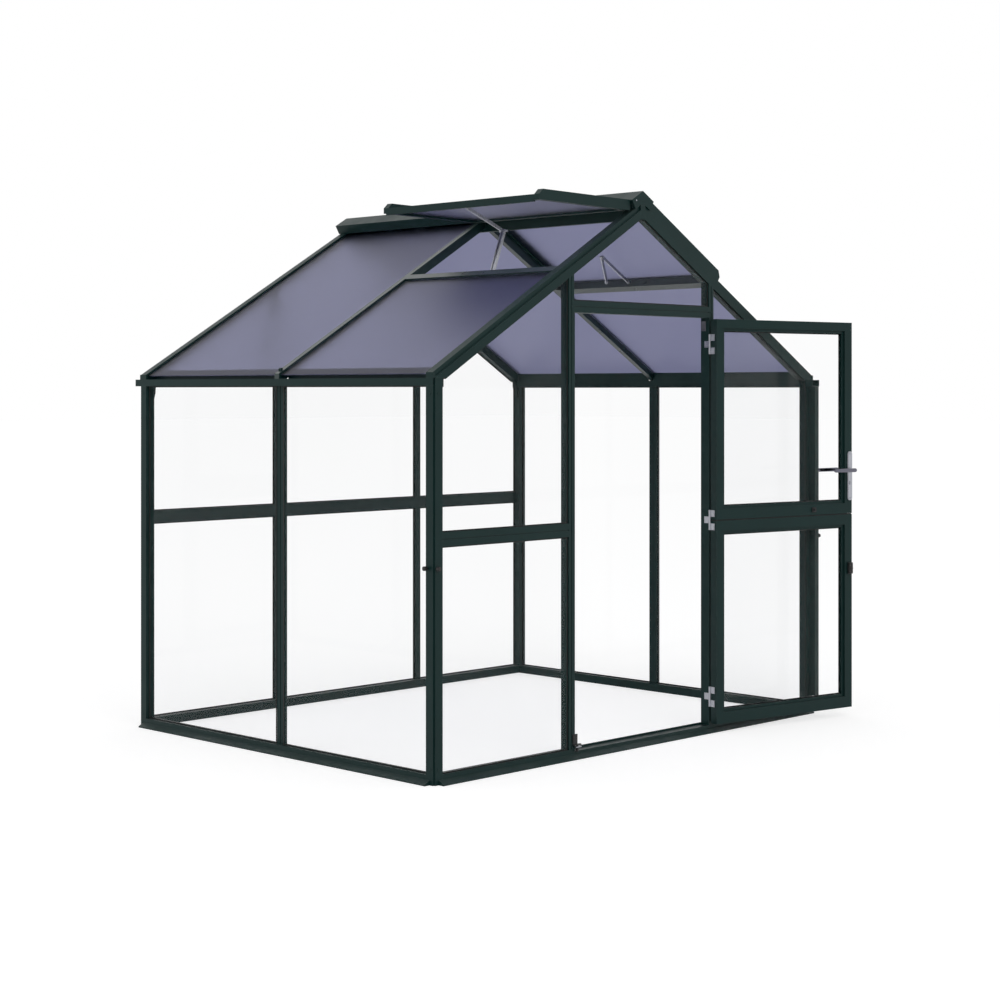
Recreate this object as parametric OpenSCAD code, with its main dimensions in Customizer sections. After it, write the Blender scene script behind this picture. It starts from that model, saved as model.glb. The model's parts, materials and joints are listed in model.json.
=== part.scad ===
// Small glass greenhouse: a slim painted metal frame glazed with clear panes,
// a stable door hung in the front gable and one roof vent on each slope.
// Origin: on the ground under the ridge, in the plane of the front gable's outer
// face. The house runs back from there along +Y.

/* [House] */
// Width across a gable, over the corner posts
house_w = 2510; // [2000:2:3200]
// Depth from the front gable to the rear gable
house_d = 1972; // [1500:2:3000]
// Height of the corner posts, up to the underside of the gutters
post_h = 1567; // [1300:1:2000]
// Pitch of the roof, in degrees
roof_pitch = 30.7; // [25:0.1:36]
// Distance from the front gable to the middle of the side posts
front_bay = 974; // [700:1:1400]

/* [Base] */
// Height of the base rails
base_h = 40; // [34:1:70]
// Height of the tread that the door passes over
tread_h = 32; // [20:1:36]
// Thickness of the upstand behind the closed door
upstand_t = 6; // [3:1:12]
// How far the sloping foot flange reaches out from the walls
flange_out = 27; // [15:1:40]
// Thickness of the flange at its outer edge
flange_edge = 5; // [3:1:10]
// Height at which the flange meets the wall face
flange_top = 20; // [12:1:28]
// How far short of the outer corner each flange stops
flange_short = 26; // [10:1:45]

/* [Posts and rails] */
// Width and depth of the square corner posts
corner_w = 47; // [36:1:70]
// Side of the square recess down the outer corner of a corner post
corner_notch = 7; // [3:1:12]
// Face width of the door posts, and of the rear posts in line with them
door_post_w = 32; // [26:1:60]
// Width of the strip down the closing post that the leaves shut beside
jamb_w = 34; // [16:1:40]
// Depth of that strip, in front of the upstand of the sill
jamb_d = 19; // [10:1:30]
// Depth of the rear posts and middle rails
post_d = 24; // [18:1:40]
// Face width of the side posts
side_post_w = 44; // [28:1:60]
// Depth of the side posts
side_post_d = 20; // [14:1:30]
// Set-back of the side posts and side panes from the wall face
side_set = 20; // [8:1:24]
// Height of the underside of the middle rails
rail_z = 934; // [700:1:1200]
// Face height of the middle rails
rail_h = 57; // [30:1:70]
// Face height of the header over the door
header_h = 50; // [30:1:80]
// Width of the groove drawn along the frame faces
groove_w = 5; // [2:0.5:8]
// Depth of that groove
groove_d = 3; // [0.5:0.5:4]
// Running and seating gap where long faces lie on each other
seat_gap = 0.2; // [0.1:0.05:0.3]

/* [Gutters] */
// Height of the outer lip of a gutter
gutter_h = 31; // [20:1:50]
// Width of a gutter
gutter_w = 54; // [40:1:80]
// Wall of a gutter
gutter_wall = 3; // [2:0.5:5]
// How far a gutter runs past the gable at its outlet end
gutter_reach = 36; // [24:1:60]
// Height from the gutter lip to the roof line at the wall face
eave_gap = 22; // [15:1:40]
// Width of the downpipe across the gable face
pipe_w = 30; // [20:1:50]
// Depth of the downpipe out from the gable face
pipe_d = 33; // [18:1:60]
// Wall of the downpipe
pipe_wall = 2; // [1.5:0.5:4]
// Height of the open foot of the downpipe
pipe_foot = 85; // [40:1:300]

/* [Roof] */
// Depth of the gable rafters, square to the slope
rafter_t = 54; // [40:1:80]
// Height of the band along the top of a rafter that is set back from its face
rafter_band = 20; // [8:1:36]
// How far that band is set back
band_set = 8; // [3:1:12]
// Width of the middle roof bars
bar_w = 30; // [20:1:50]
// Depth of the middle roof bars, square to the slope
bar_t = 40; // [25:1:54]
// Width of the ridge beam
ridge_w = 30; // [20:1:50]
// Horizontal reach of each wing of the ridge cap
cap_wing = 72; // [50:1:110]

/* [Roof vents] */
// Length of a vent down the slope
vent_len = 571; // [400:1:700]
// Depth of the side members of a vent
vent_t = 46; // [30:1:60]
// Width of the side members of a vent
vent_side = 30; // [20:1:45]
// Height of the lower rail of a vent
vent_rail_t = 24; // [10:1:30]
// Width of the end rails of a vent, down the slope
vent_rail_w = 34; // [20:1:60]
// Thickness of the lip that laps over the vent sill
vent_lip_t = 12; // [6:1:20]
// Gap between that lip and the roof pane under it
vent_lip_gap = 1; // [0.5:0.5:3]
// Set-back of a vent from the front gable face
vent_setback = 13; // [0:1:17]
// Lift of the left vent from closed, in degrees
left_vent_lift = 31.6; // [0:0.1:45]
// Lift of the right vent from closed, in degrees
right_vent_lift = 0; // [0:0.1:45]
// Width of the vent sills, down the slope
sill_w = 40; // [25:1:60]
// Distance of the left stay from the front gable face
left_stay_y = 455; // [200:1:700]
// Distance of the right stay from the front gable face
right_stay_y = 500; // [200:1:700]
// Width of the stay arms
stay_w = 14; // [8:1:24]
// Thickness of the stay arms
stay_t = 6; // [3:1:10]
// Washer gap between stay arms on one pin
stay_gap = 0.8; // [0.3:0.1:2]

/* [Glass] */
// Thickness of every pane
glass_t = 4; // [3:0.5:8]
// Set-back of the gable panes from the frame face
glass_set = 10; // [5:1:18]
// Depth of the roof panes below the roof line
roof_glass_set = 8; // [4:1:12]
// Overhang of the roof panes into the gutter, short of its outer face by this much
roof_glass_start = 6; // [4:1:20]

/* [Door] */
// Clear width between the door posts
door_w = 903; // [700:1:1100]
// Offset of the doorway's middle from the ridge line
door_shift = 7; // [-40:1:40]
// Height of the underside of the lower leaf
leaf_bottom = 43; // [38:1:60]
// Height of the gap between the two leaves
split_z = 962; // [700:1:1200]
// Gap between the two leaves
split_gap = 5.5; // [5:0.5:12]
// Height of the top of the upper leaf
leaf_top = 1870; // [1700:1:2000]
// Thickness of the leaves
leaf_t = 40; // [30:1:45]
// Gap between a leaf and the hinge post
hinge_gap = 5; // [4:0.5:8]
// Gap between a leaf and the closing strip, the header and the sill upstand
leaf_gap = 6; // [5.5:0.5:12]
// Face width of the leaf members
stile_w = 40; // [30:1:70]
// Face width of the closing member of each leaf, which carries the handle
lock_stile_w = 47; // [34:1:70]
// Width of the thinner bead inside the leaf members
bead_w = 13; // [6:1:20]
// Thickness of that bead
bead_t = 22; // [12:1:30]
// Height of the leaf rails on each side of the split
split_rail_h = 48; // [30:1:70]
// Height of the bottom rail of the lower leaf
kick_h = 52; // [35:1:90]
// Angle that the leaves stand open, in degrees
door_open = 170.3; // [90:0.1:175]

/* [Hinges and handle] */
// Radius of the hinge knuckles
knuckle_r = 5; // [4:0.5:8]
// Radius of the hinge pins
pin_r = 2.5; // [1.5:0.1:4]
// Radial clearance of the leaf knuckles on the pins
pin_fit = 0.08; // [0.02:0.01:0.1]
// Length of a hinge
hinge_len = 90; // [60:1:120]
// Gap between neighbouring knuckles
knuckle_gap = 0.5; // [0.3:0.1:1]
// Width of the hinge plates
plate_w = 26; // [18:1:36]
// Thickness of the hinge plates
plate_t = 2; // [1:0.5:2]
// Height of the middle of the top hinge
top_hinge_z = 1757; // [1500:1:1820]
// Height of the middle of the bottom hinge
bottom_hinge_z = 163; // [110:1:400]
// Distance of the lever spindle from the closing edge
handle_inset = 16; // [16:0.5:30]
// Height of the lever spindle
lever_z = 1170; // [1080:1:1400]
// Height of a handle plate
handle_plate_h = 232; // [160:1:260]
// Width of a handle plate
handle_plate_w = 30; // [24:1:38]
// Thickness of a handle plate
handle_plate_t = 6; // [4:1:10]
// Radius of the lever spindle
spindle_r = 4; // [3:0.5:6]
// Radius of the lever neck
neck_r = 9; // [7:1:12]
// Reach of a lever from its plate
lever_reach = 40; // [30:1:60]
// Length of a lever
lever_len = 132; // [80:1:145]
// Width of a lever
lever_w = 16; // [10:1:24]
// Thickness of a lever
lever_t = 10; // [6:1:14]

/* [Hidden] */
$fn = 48;

frame_green = [0.15, 0.2, 0.195];
pane_tint = [0.86, 0.9, 0.93, 0.3];
roof_tint = [0.6, 0.62, 0.72, 0.45];
bright = [0.75, 0.76, 0.78];
fixing_black = [0.07, 0.07, 0.08];

eps = 1;                        // overrun of a cutting shape past the face it opens
half_w = house_w / 2;
front_y = 0;
rear_y = front_y + house_d;
side_post_y = front_y + front_bay;
slope_tan = tan(roof_pitch);
slope_cos = cos(roof_pitch);
slope_sin = sin(roof_pitch);
lip_z = post_h + gutter_h;
roof_line = lip_z + eave_gap;   // roof line where it meets the wall face
ridge_top = top_z(half_w - ridge_w / 2);
rafter_drop = rafter_t / slope_cos;

door_left = door_shift - door_w / 2;
door_right = door_shift + door_w / 2;
header_z = leaf_top + leaf_gap;
upstand_y = leaf_t + leaf_gap;
pin_x = door_right - hinge_gap / 2;
pin_y = front_y - knuckle_r - knuckle_gap;
leaf_left = door_left + jamb_w + leaf_gap;
leaf_right = door_right - hinge_gap;
upper_bottom = split_z + split_gap / 2;
lower_top = split_z - split_gap / 2;
knuckle_len = hinge_len / 3;
handle_x = leaf_left + handle_inset;
upper_bolt_x = 252;             // middle of the bolt from the closing edge
latch_z = 704;                  // middle of the lower latch
latch_h = 53;
latch_w = 26;
latch_proud = 15;

vent_hinge_s = (half_w - cap_wing + vent_t * slope_sin) / slope_cos;
vent_end_s = vent_hinge_s - vent_len;
sill_s = vent_end_s + vent_lip_t;
vent_y0 = front_y + vent_setback;
vent_y1 = side_post_y;
sill_face_s = sill_s + sill_w;
stay_eye_r = 0.6 * stay_w;
stay_pin_r = 0.35 * stay_w;
stay_lug_half = 0.25 * stay_w;
stay_step = stay_t + stay_gap;
stay_root = [sill_face_s + stay_eye_r, -bar_t / 2];
stay_seat = [vent_end_s + vent_lip_t + 1.5 * stay_eye_r, -stay_eye_r];

// Height of the roof line at a distance in from the outer face of a side wall.
function top_z(inset) = roof_line + inset * slope_tan;
// Height of the underside of a member of the given depth under the roof line.
function under_z(inset, depth) = top_z(inset) - depth / slope_cos;
// Distance in from the wall face at which that underside clears the gutter lip.
function under_start(depth) = (lip_z - roof_line + depth / slope_cos) / slope_tan;

// Inner edge of a door or rear post, for the post drawn on the left and put on either side.
function post_edge(side) = side < 0 ? door_left : -door_right;

// ---- placing helpers ----

// Extrudes an outline drawn in X and Z between two Y planes.
module between_y(y0, y1) {
    translate([0, y1, 0]) rotate([90, 0, 0]) linear_extrude(y1 - y0) children();
}

// Extrudes an outline drawn in Y and Z between two X planes.
module between_x(x0, x1) {
    translate([x0, 0, 0]) rotate([90, 0, 90]) linear_extrude(x1 - x0) children();
}

module slab(x0, x1, y0, y1, z0, z1) {
    translate([x0, y0, z0]) cube([x1 - x0, y1 - y0, z1 - z0]);
}

// Round bar along Y from one depth to another.
module rod_y(x, z, y0, y1, r) {
    translate([x, y1, z]) rotate([90, 0, 0]) cylinder(h = y1 - y0, r = r);
}

// Puts children, drawn on the left slope as run up the slope, depth, and rise
// square to it, on to the left slope; the right slope is its mirror image.
module on_left_slope() {
    translate([-half_w, 0, roof_line]) rotate([0, -roof_pitch, 0]) children();
}

module on_side(side) {
    if (side < 0) children();
    else mirror([1, 0, 0]) children();
}

// Puts children, drawn at the front gable, on to the rear gable.
module at_rear() {
    translate([0, front_y + rear_y, 0]) mirror([0, 1, 0]) children();
}

// Swings children, drawn with the door closed, to the angle it stands open.
module swung_open() {
    translate([pin_x, pin_y, 0]) rotate([0, 0, door_open]) translate([-pin_x, -pin_y, 0]) children();
}

// ---- base ----

// Section of a base rail: Y runs in from the wall face, Z up.
module rail_section() {
    polygon([[0, 0], [corner_w, 0], [corner_w, base_h], [0, base_h]]);
}

module flange_section() {
    polygon([[0, 0], [-flange_out, 0], [-flange_out, flange_edge], [0, flange_top]]);
}

module base_rail_front() {
    color(frame_green) translate([0, front_y, 0]) for (side = [-1, 1]) on_side(side) union() {
        between_x(-half_w + corner_w, post_edge(side)) rail_section();
        between_x(-half_w + flange_short, post_edge(side)) flange_section();
    }
}

module door_sill() {
    color(frame_green) translate([0, front_y, 0]) between_x(door_left, door_right)
        polygon([
            [-flange_out, 0], [upstand_y + upstand_t, 0], [upstand_y + upstand_t, base_h],
            [upstand_y, base_h], [upstand_y, tread_h], [0, tread_h], [0, flange_top],
            [-flange_out, flange_edge]
        ]);
}

module base_rail_rear() {
    color(frame_green) at_rear() translate([0, front_y, 0]) union() {
        between_x(-half_w + corner_w, half_w - corner_w) rail_section();
        between_x(-half_w + flange_short, half_w - flange_short) flange_section();
    }
}

module side_base_rail() {
    color(frame_green) translate([-half_w, 0, 0]) union() {
        between_y(front_y + corner_w, rear_y - corner_w) rail_section();
        between_y(front_y + flange_short, rear_y - flange_short) flange_section();
    }
}

module base_rail_left() { side_base_rail(); }
module base_rail_right() { mirror([1, 0, 0]) side_base_rail(); }

// ---- posts and rails ----

// Section of a bar with a groove along the middle of its outer face.
// X runs along the face, Y in from it.
module grooved_section(w, d) {
    difference() {
        square([w, d]);
        translate([(w - groove_w) / 2, -eps]) square([groove_w, groove_d + eps]);
    }
}

// Front left corner post. A tongue fills the end of a gutter that stops here.
module corner_post(has_tongue) {
    translate([-half_w, front_y, 0]) {
        linear_extrude(post_h) difference() {
            square(corner_w);
            translate([-eps, -eps]) square(corner_notch + eps);
        }
        if (has_tongue) translate([corner_notch, 0, 0])
            cube([corner_w - corner_notch, corner_notch, lip_z]);
    }
}

module corner_posts_front() {
    color(frame_green) for (side = [-1, 1]) on_side(side) union() corner_post(side < 0);
}

module corner_posts_rear() {
    color(frame_green) for (side = [-1, 1]) at_rear() on_side(side) union() corner_post(side > 0);
}

module side_posts() {
    color(frame_green) for (side = [-1, 1]) on_side(side)
        translate([-half_w + side_set, side_post_y + side_post_w / 2, base_h]) rotate([0, 0, -90])
            linear_extrude(post_h - base_h) grooved_section(side_post_w, side_post_d);
}

// Post of a gable, between the base rail and the underside of the rafter.
module gable_post(x0, w, d) {
    intersection() {
        translate([x0, front_y, base_h]) linear_extrude(ridge_top) grooved_section(w, d);
        between_y(front_y - eps, front_y + d + eps) polygon([
            [x0 - eps, 0], [x0 + w + eps, 0],
            [x0 + w + eps, under_z(x0 + w + eps + half_w, rafter_t)],
            [x0 - eps, under_z(x0 - eps + half_w, rafter_t)]
        ]);
    }
}

module door_posts() {
    color(frame_green) for (side = [-1, 1]) on_side(side)
        gable_post(post_edge(side) - door_post_w, door_post_w, corner_w);
}

// Strip down the closing side of the doorway, behind the post's face.
module closing_jamb() {
    color(frame_green) slab(door_left, door_left + jamb_w, upstand_y - jamb_d, upstand_y,
        tread_h, header_z);
}

module rear_posts() {
    color(frame_green) at_rear() for (side = [-1, 1]) on_side(side)
        gable_post(post_edge(side) - door_post_w, door_post_w, post_d);
}

// A rail across a gable, grooved along its outer face.
module gable_rail(x0, x1, z0, h, d) {
    translate([0, front_y, z0]) between_x(x0, x1) difference() {
        square([d, h]);
        translate([-eps, (h - groove_w) / 2]) square([groove_d + eps, groove_w]);
    }
}

module mid_rails_front() {
    color(frame_green) for (side = [-1, 1]) on_side(side)
        gable_rail(-half_w + corner_w, post_edge(side) - door_post_w, rail_z, rail_h, post_d);
}

module mid_rails_rear() {
    color(frame_green) at_rear() {
        for (side = [-1, 1]) on_side(side)
            gable_rail(-half_w + corner_w, post_edge(side) - door_post_w, rail_z, rail_h, post_d);
        gable_rail(door_left, door_right, rail_z, rail_h, post_d);
    }
}

module door_header() {
    color(frame_green) gable_rail(door_left, door_right, header_z, header_h, corner_w);
}

// ---- gutters ----

// Left gutter: an open channel whose inner wall rises to carry the roof panes.
module gutter_channel() {
    seat_x = gutter_w - gutter_wall;
    seat_drop = roof_glass_set + glass_t + seat_gap;
    translate([-half_w, 0, 0]) between_y(front_y + corner_notch, rear_y + gutter_reach) polygon([
        [0, post_h], [gutter_w, post_h], [gutter_w, under_z(gutter_w, seat_drop)],
        [seat_x, under_z(seat_x, seat_drop)], [seat_x, post_h + gutter_wall],
        [gutter_wall, post_h + gutter_wall], [gutter_wall, lip_z], [0, lip_z]
    ]);
}

// Room over the gutter lip for the rafters and the middle roof bar.
module gutter_relief() {
    x0 = -half_w - eps;
    x1 = -half_w + gutter_w + eps;
    past = gutter_reach + eps;
    slab(x0, x1, front_y - past, front_y + corner_w, lip_z, ridge_top);
    slab(x0, x1, side_post_y - bar_w / 2, side_post_y + bar_w / 2, lip_z, ridge_top);
    slab(x0, x1, rear_y - corner_w, rear_y + past, lip_z, ridge_top);
}

module gutter_left() {
    color(frame_green) difference() {
        gutter_channel();
        gutter_relief();
    }
}

// The same gutter turned end for end, so its outlet end is at the front. Its floor
// is cut through over the downpipe.
module gutter_right() {
    color(frame_green) difference() {
        mirror([1, 0, 0]) difference() {
            at_rear() gutter_channel();
            gutter_relief();
        }
        slab(half_w - pipe_w + pipe_wall, half_w - gutter_wall, front_y - pipe_d + pipe_wall,
            front_y - pipe_wall, post_h - eps, post_h + gutter_wall + eps);
    }
}

// Square pipe under the outlet end of the right gutter, open at its foot.
module downpipe() {
    color(frame_green) translate([half_w - pipe_w, front_y - pipe_d, pipe_foot])
        linear_extrude(post_h - seat_gap - pipe_foot) difference() {
            square([pipe_w, pipe_d - seat_gap]);
            translate([pipe_wall, pipe_wall])
                square([pipe_w - 2 * pipe_wall, pipe_d - seat_gap - 2 * pipe_wall]);
        }
}

// ---- roof ----

// Sloping member from the gutter lip to the ridge beam, on the left.
module slope_member(y0, y1, depth) {
    ridge_face = half_w - ridge_w / 2;
    translate([-half_w, 0, 0]) between_y(y0, y1) polygon([
        [0, lip_z], [0, roof_line], [ridge_face, ridge_top],
        [ridge_face, under_z(ridge_face, depth)], [under_start(depth), lip_z]
    ]);
}

// Pair of front rafters, with a band set back along the top of the face.
module gable_rafters() {
    for (side = [-1, 1]) on_side(side) difference() {
        slope_member(front_y, front_y + corner_w, rafter_t);
        on_left_slope() slab(0, house_w, front_y - eps, front_y + band_set, -rafter_band, house_w);
    }
}

module rafters_front() {
    color(frame_green) gable_rafters();
}

module rafters_rear() {
    color(frame_green) at_rear() gable_rafters();
}

module middle_bar() {
    color(frame_green) slope_member(side_post_y - bar_w / 2, side_post_y + bar_w / 2, bar_t);
}

module roof_bar_left() { middle_bar(); }
module roof_bar_right() { mirror([1, 0, 0]) middle_bar(); }

module ridge_beam() {
    color(frame_green) slab(-ridge_w / 2, ridge_w / 2, front_y, rear_y, ridge_top - rafter_drop, ridge_top);
}

// Height of the top of the ridge cap and of a shut vent, at an inset.
function cap_top_z(inset) = top_z(inset) + vent_t / slope_cos;

// Ridge capping over the beam. Its edges are cut square to the slope, so that a shut
// vent meets them over its whole depth.
module ridge_cap() {
    tip = [cap_wing, cap_top_z(half_w - cap_wing)];
    foot = tip - (vent_t - seat_gap) * [slope_sin, slope_cos];
    right_edge = [tip, foot, [ridge_w / 2, ridge_top + seat_gap / slope_cos]];
    left_edge = [for (i = [2:-1:0]) [-right_edge[i][0], right_edge[i][1]]];
    color(frame_green) between_y(front_y, rear_y)
        polygon(concat([[0, cap_top_z(half_w)]], right_edge, left_edge));
}

// Quarter bracket in the angle between a corner post and its rafter.
module eave_bracket(drop) {
    reach = 17;
    plate_y = 30;
    plate_depth = 6;
    flat = under_start(rafter_t);
    translate([-half_w, 0, 0]) between_y(front_y + plate_y, front_y + plate_y + plate_depth) polygon([
        [corner_w, post_h - drop], [corner_w + reach / 2, post_h - 0.87 * drop],
        [corner_w + 0.87 * reach, post_h - drop / 2], [corner_w + reach, post_h],
        [flat + reach / 2, lip_z - reach / 3], [flat + 2 * reach, under_z(flat + 2 * reach, rafter_t)],
        [flat, lip_z], [gutter_w, lip_z], [gutter_w, post_h], [corner_w, post_h]
    ]);
}

module eave_brackets() {
    front_drop = 22;
    rear_drop = 64;
    color(frame_green) for (side = [-1, 1]) on_side(side) {
        eave_bracket(front_drop);
        at_rear() eave_bracket(rear_drop);
    }
}

// ---- roof vents ----

module vent_sills() {
    color(frame_green) for (side = [-1, 1]) on_side(side) on_left_slope()
        slab(sill_s, sill_s + sill_w, front_y + corner_w, side_post_y - bar_w / 2, -bar_t, 0);
}

// Turns a shut vent about its hinge line at the tip of the ridge cap.
module lifted(lift) {
    translate([vent_hinge_s, 0, vent_t]) rotate([0, lift, 0]) translate([-vent_hinge_s, 0, -vent_t])
        children();
}

// Where a point of a shut vent, given up the slope and square to it, lies when lifted.
function lifted_point(p, lift) =
    let (s = p[0] - vent_hinge_s, n = p[1] - vent_t)
    [vent_hinge_s + s * cos(lift) + n * sin(lift), vent_t - s * sin(lift) + n * cos(lift)];

module vent_frame(lift) {
    bevel = vent_t - vent_rail_t;
    lip_y0 = front_y + corner_w + vent_lip_gap;
    lip_y1 = side_post_y - bar_w / 2 - vent_lip_gap;
    hinge_face = vent_hinge_s - seat_gap;
    color(frame_green) on_left_slope() lifted(lift) union() {
        for (y = [vent_y0, vent_y1 - vent_side]) between_y(y, y + vent_side) polygon([
            [vent_end_s, seat_gap], [hinge_face, seat_gap], [hinge_face, vent_t],
            [vent_end_s + bevel, vent_t], [vent_end_s, vent_rail_t]
        ]);
        slab(vent_end_s, vent_end_s + vent_rail_w, vent_y0, vent_y1, seat_gap, vent_rail_t);
        slab(hinge_face - vent_rail_w, hinge_face, vent_y0, vent_y1, seat_gap, vent_t);
        slab(vent_end_s, vent_end_s + vent_lip_t, lip_y0, lip_y1, vent_lip_gap - roof_glass_set, eps);
    }
}

module vent_glass(lift) {
    seat = 8;
    color(roof_tint) on_left_slope() lifted(lift) slab(
        vent_end_s + vent_rail_w, vent_hinge_s - seat_gap - vent_rail_w,
        vent_y0 + vent_side, vent_y1 - vent_side, seat, seat + glass_t
    );
}

module vent_frame_left() { vent_frame(left_vent_lift); }
module vent_glass_left() { vent_glass(left_vent_lift); }
module vent_frame_right() { mirror([1, 0, 0]) vent_frame(right_vent_lift); }
module vent_glass_right() { mirror([1, 0, 0]) vent_glass(right_vent_lift); }

// Flat arm with an eye at each end, between two points given up the slope and square to it.
module stay_arm(p0, p1, y) {
    run = p1 - p0;
    translate([p0[0], y, p0[1]]) rotate([0, -atan2(run[1], run[0]), 0]) union() {
        slab(0, norm(run), -stay_t / 2, stay_t / 2, -stay_w / 2, stay_w / 2);
        for (x = [0, norm(run)]) rod_y(x, 0, -stay_t / 2, stay_t / 2, stay_eye_r);
    }
}

// Pin through the arms between two steps, counted from the line of the stay.
module stay_pin(p, y, from, to) {
    rod_y(p[0], p[1], y + from * stay_step - stay_t / 2, y + to * stay_step + stay_t / 2, stay_pin_r);
}

// Lug that ties a stay to a face of the frame: the face is square to the slope on
// the sill, and along the slope on the vent.
module sill_lug(y) {
    slab(sill_face_s, stay_root[0], y - stay_t / 2, y + stay_t / 2,
        stay_root[1] - stay_lug_half, stay_root[1] + stay_lug_half);
}

module vent_lug(y) {
    slab(stay_seat[0] - stay_lug_half, stay_seat[0] + stay_lug_half, y - stay_t / 2, y + stay_t / 2,
        stay_seat[1], 0);
}

// Open stay: twin arms rise from the sill to an elbow, and one arm goes on to the vent.
module vent_stay_left() {
    y = front_y + left_stay_y;
    elbow = stay_root + [157, 125];
    head = lifted_point(stay_seat, left_vent_lift);
    color(bright) on_left_slope() union() {
        for (step = [-1, 1]) stay_arm(stay_root, elbow, y + step * stay_step);
        stay_arm(elbow, head, y);
        stay_pin(stay_root, y, -1, 1);
        stay_pin(elbow, y, -3, 3);
        sill_lug(y);
        lifted(left_vent_lift) vent_lug(y + stay_step);
        stay_pin(head, y, 0, 1);
    }
}

// Folded stay: an arm lies up under the shut vent, and a link hangs from its end.
module vent_stay_right() {
    y = front_y + right_stay_y;
    arm_end = stay_root + [212, 0];
    link_end = arm_end - [90, 80];
    color(bright) mirror([1, 0, 0]) on_left_slope() union() {
        stay_arm(stay_root, arm_end, y);
        stay_arm(arm_end, link_end, y + stay_step);
        stay_pin(stay_root, y, -1, 0);
        stay_pin(arm_end, y, -1, 2);
        stay_pin(link_end, y, 0, 2);
        sill_lug(y - stay_step);
    }
}

// ---- glass ----

module side_wall_glass() {
    x0 = -half_w + side_set;
    color(pane_tint) {
        slab(x0, x0 + glass_t, front_y + corner_w, side_post_y - side_post_w / 2, base_h, post_h);
        slab(x0, x0 + glass_t, side_post_y + side_post_w / 2, rear_y - corner_w, base_h, post_h);
    }
}

module glass_left_wall() { side_wall_glass(); }
module glass_right_wall() { mirror([1, 0, 0]) side_wall_glass(); }

// Pane of a gable, drawn in X and Z on the front gable.
module gable_pane() {
    between_y(front_y + glass_set, front_y + glass_set + glass_t) children();
}

// Two panes beside the middle bay, one under the middle rail and one up to the rafter.
module outer_bay_panes(post_face) {
    rail_top = rail_z + rail_h;
    inset = post_face + half_w;
    gable_pane() polygon([
        [-half_w + corner_w, base_h], [post_face, base_h], [post_face, rail_z], [-half_w + corner_w, rail_z]
    ]);
    translate([-half_w, 0, 0]) gable_pane() polygon([
        [corner_w, rail_top], [inset, rail_top], [inset, under_z(inset, rafter_t)],
        [under_start(rafter_t), lip_z], [gutter_w, lip_z], [gutter_w, post_h], [corner_w, post_h]
    ]);
}

// Pane between two middle posts, up to the rafters and the ridge beam.
module apex_pane(x0, x1, z0) {
    ridge_face = ridge_w / 2;
    peak_z = ridge_top - rafter_drop;
    gable_pane() polygon([
        [x0, z0], [x1, z0], [x1, under_z(half_w - x1, rafter_t)],
        [ridge_face, peak_z], [-ridge_face, peak_z], [x0, under_z(half_w + x0, rafter_t)]
    ]);
}

module glass_front() {
    color(pane_tint) {
        for (side = [-1, 1]) on_side(side) outer_bay_panes(post_edge(side) - door_post_w);
        apex_pane(door_left, door_right, header_z + header_h);
    }
}

module glass_rear() {
    color(pane_tint) at_rear() {
        for (side = [-1, 1]) on_side(side) outer_bay_panes(post_edge(side) - door_post_w);
        slab(door_left, door_right, front_y + glass_set, front_y + glass_set + glass_t, base_h, rail_z);
        apex_pane(door_left, door_right, rail_z + rail_h);
    }
}

module slope_glass() {
    drop = roof_glass_set + glass_t;
    top_s = (half_w - ridge_w / 2 - drop * slope_sin) / slope_cos;
    color(roof_tint) on_left_slope() {
        slab(roof_glass_start, sill_s, front_y + corner_w, side_post_y - bar_w / 2, -drop, -roof_glass_set);
        slab(roof_glass_start, top_s, side_post_y + bar_w / 2, rear_y - corner_w, -drop, -roof_glass_set);
    }
}

module roof_glass_left() { slope_glass(); }
module roof_glass_right() { mirror([1, 0, 0]) slope_glass(); }

// ---- door ----

// Rectangular ring between two heights, with members of the given widths.
module door_ring(x0, x1, z0, z1, left, right, bottom, top, y0, depth) {
    difference() {
        slab(x0, x1, y0, y0 + depth, z0, z1);
        slab(x0 + left, x1 - right, y0 - eps, y0 + depth + eps, z0 + bottom, z1 - top);
    }
}

// Leaf frame: square members with a thinner glazing bead all round the opening.
module leaf_frame(z0, z1, bottom, top) {
    bead_y = front_y + (leaf_t - bead_t) / 2;
    door_ring(leaf_left, leaf_right, z0, z1, lock_stile_w, stile_w, bottom, top, front_y, leaf_t);
    door_ring(
        leaf_left + lock_stile_w, leaf_right - stile_w, z0 + bottom, z1 - top,
        bead_w, bead_w, bead_w, bead_w, bead_y, bead_t
    );
}

module leaf_glass(z0, z1, bottom, top) {
    pane_y = front_y + (leaf_t - glass_t) / 2;
    color(pane_tint) swung_open() slab(
        leaf_left + lock_stile_w + bead_w, leaf_right - stile_w - bead_w,
        pane_y, pane_y + glass_t, z0 + bottom + bead_w, z1 - top - bead_w
    );
}

module upper_leaf_frame() {
    spindle_hole = spindle_r + 2;
    color(frame_green) swung_open() difference() {
        union() leaf_frame(upper_bottom, leaf_top, split_rail_h, stile_w);
        rod_y(handle_x, lever_z, front_y - eps, front_y + leaf_t + eps, spindle_hole);
    }
}

module upper_leaf_glass() { leaf_glass(upper_bottom, leaf_top, split_rail_h, stile_w); }

module lower_leaf_frame() {
    color(frame_green) swung_open() union() leaf_frame(leaf_bottom, lower_top, kick_h, split_rail_h);
}

module lower_leaf_glass() { leaf_glass(leaf_bottom, lower_top, kick_h, split_rail_h); }

// ---- hinges ----

// Middle knuckle of a hinge, with its pin and the plate let on to the post.
module post_hinge(z) {
    z0 = z - knuckle_len / 2 + knuckle_gap / 2;
    height = knuckle_len - knuckle_gap;
    union() {
        translate([pin_x, pin_y, z - hinge_len / 2]) cylinder(h = hinge_len, r = pin_r);
        translate([pin_x, pin_y, z0]) cylinder(h = height, r = knuckle_r);
        slab(door_right - plate_t, door_right, pin_y, front_y + plate_w, z0, z0 + height);
    }
}

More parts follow.
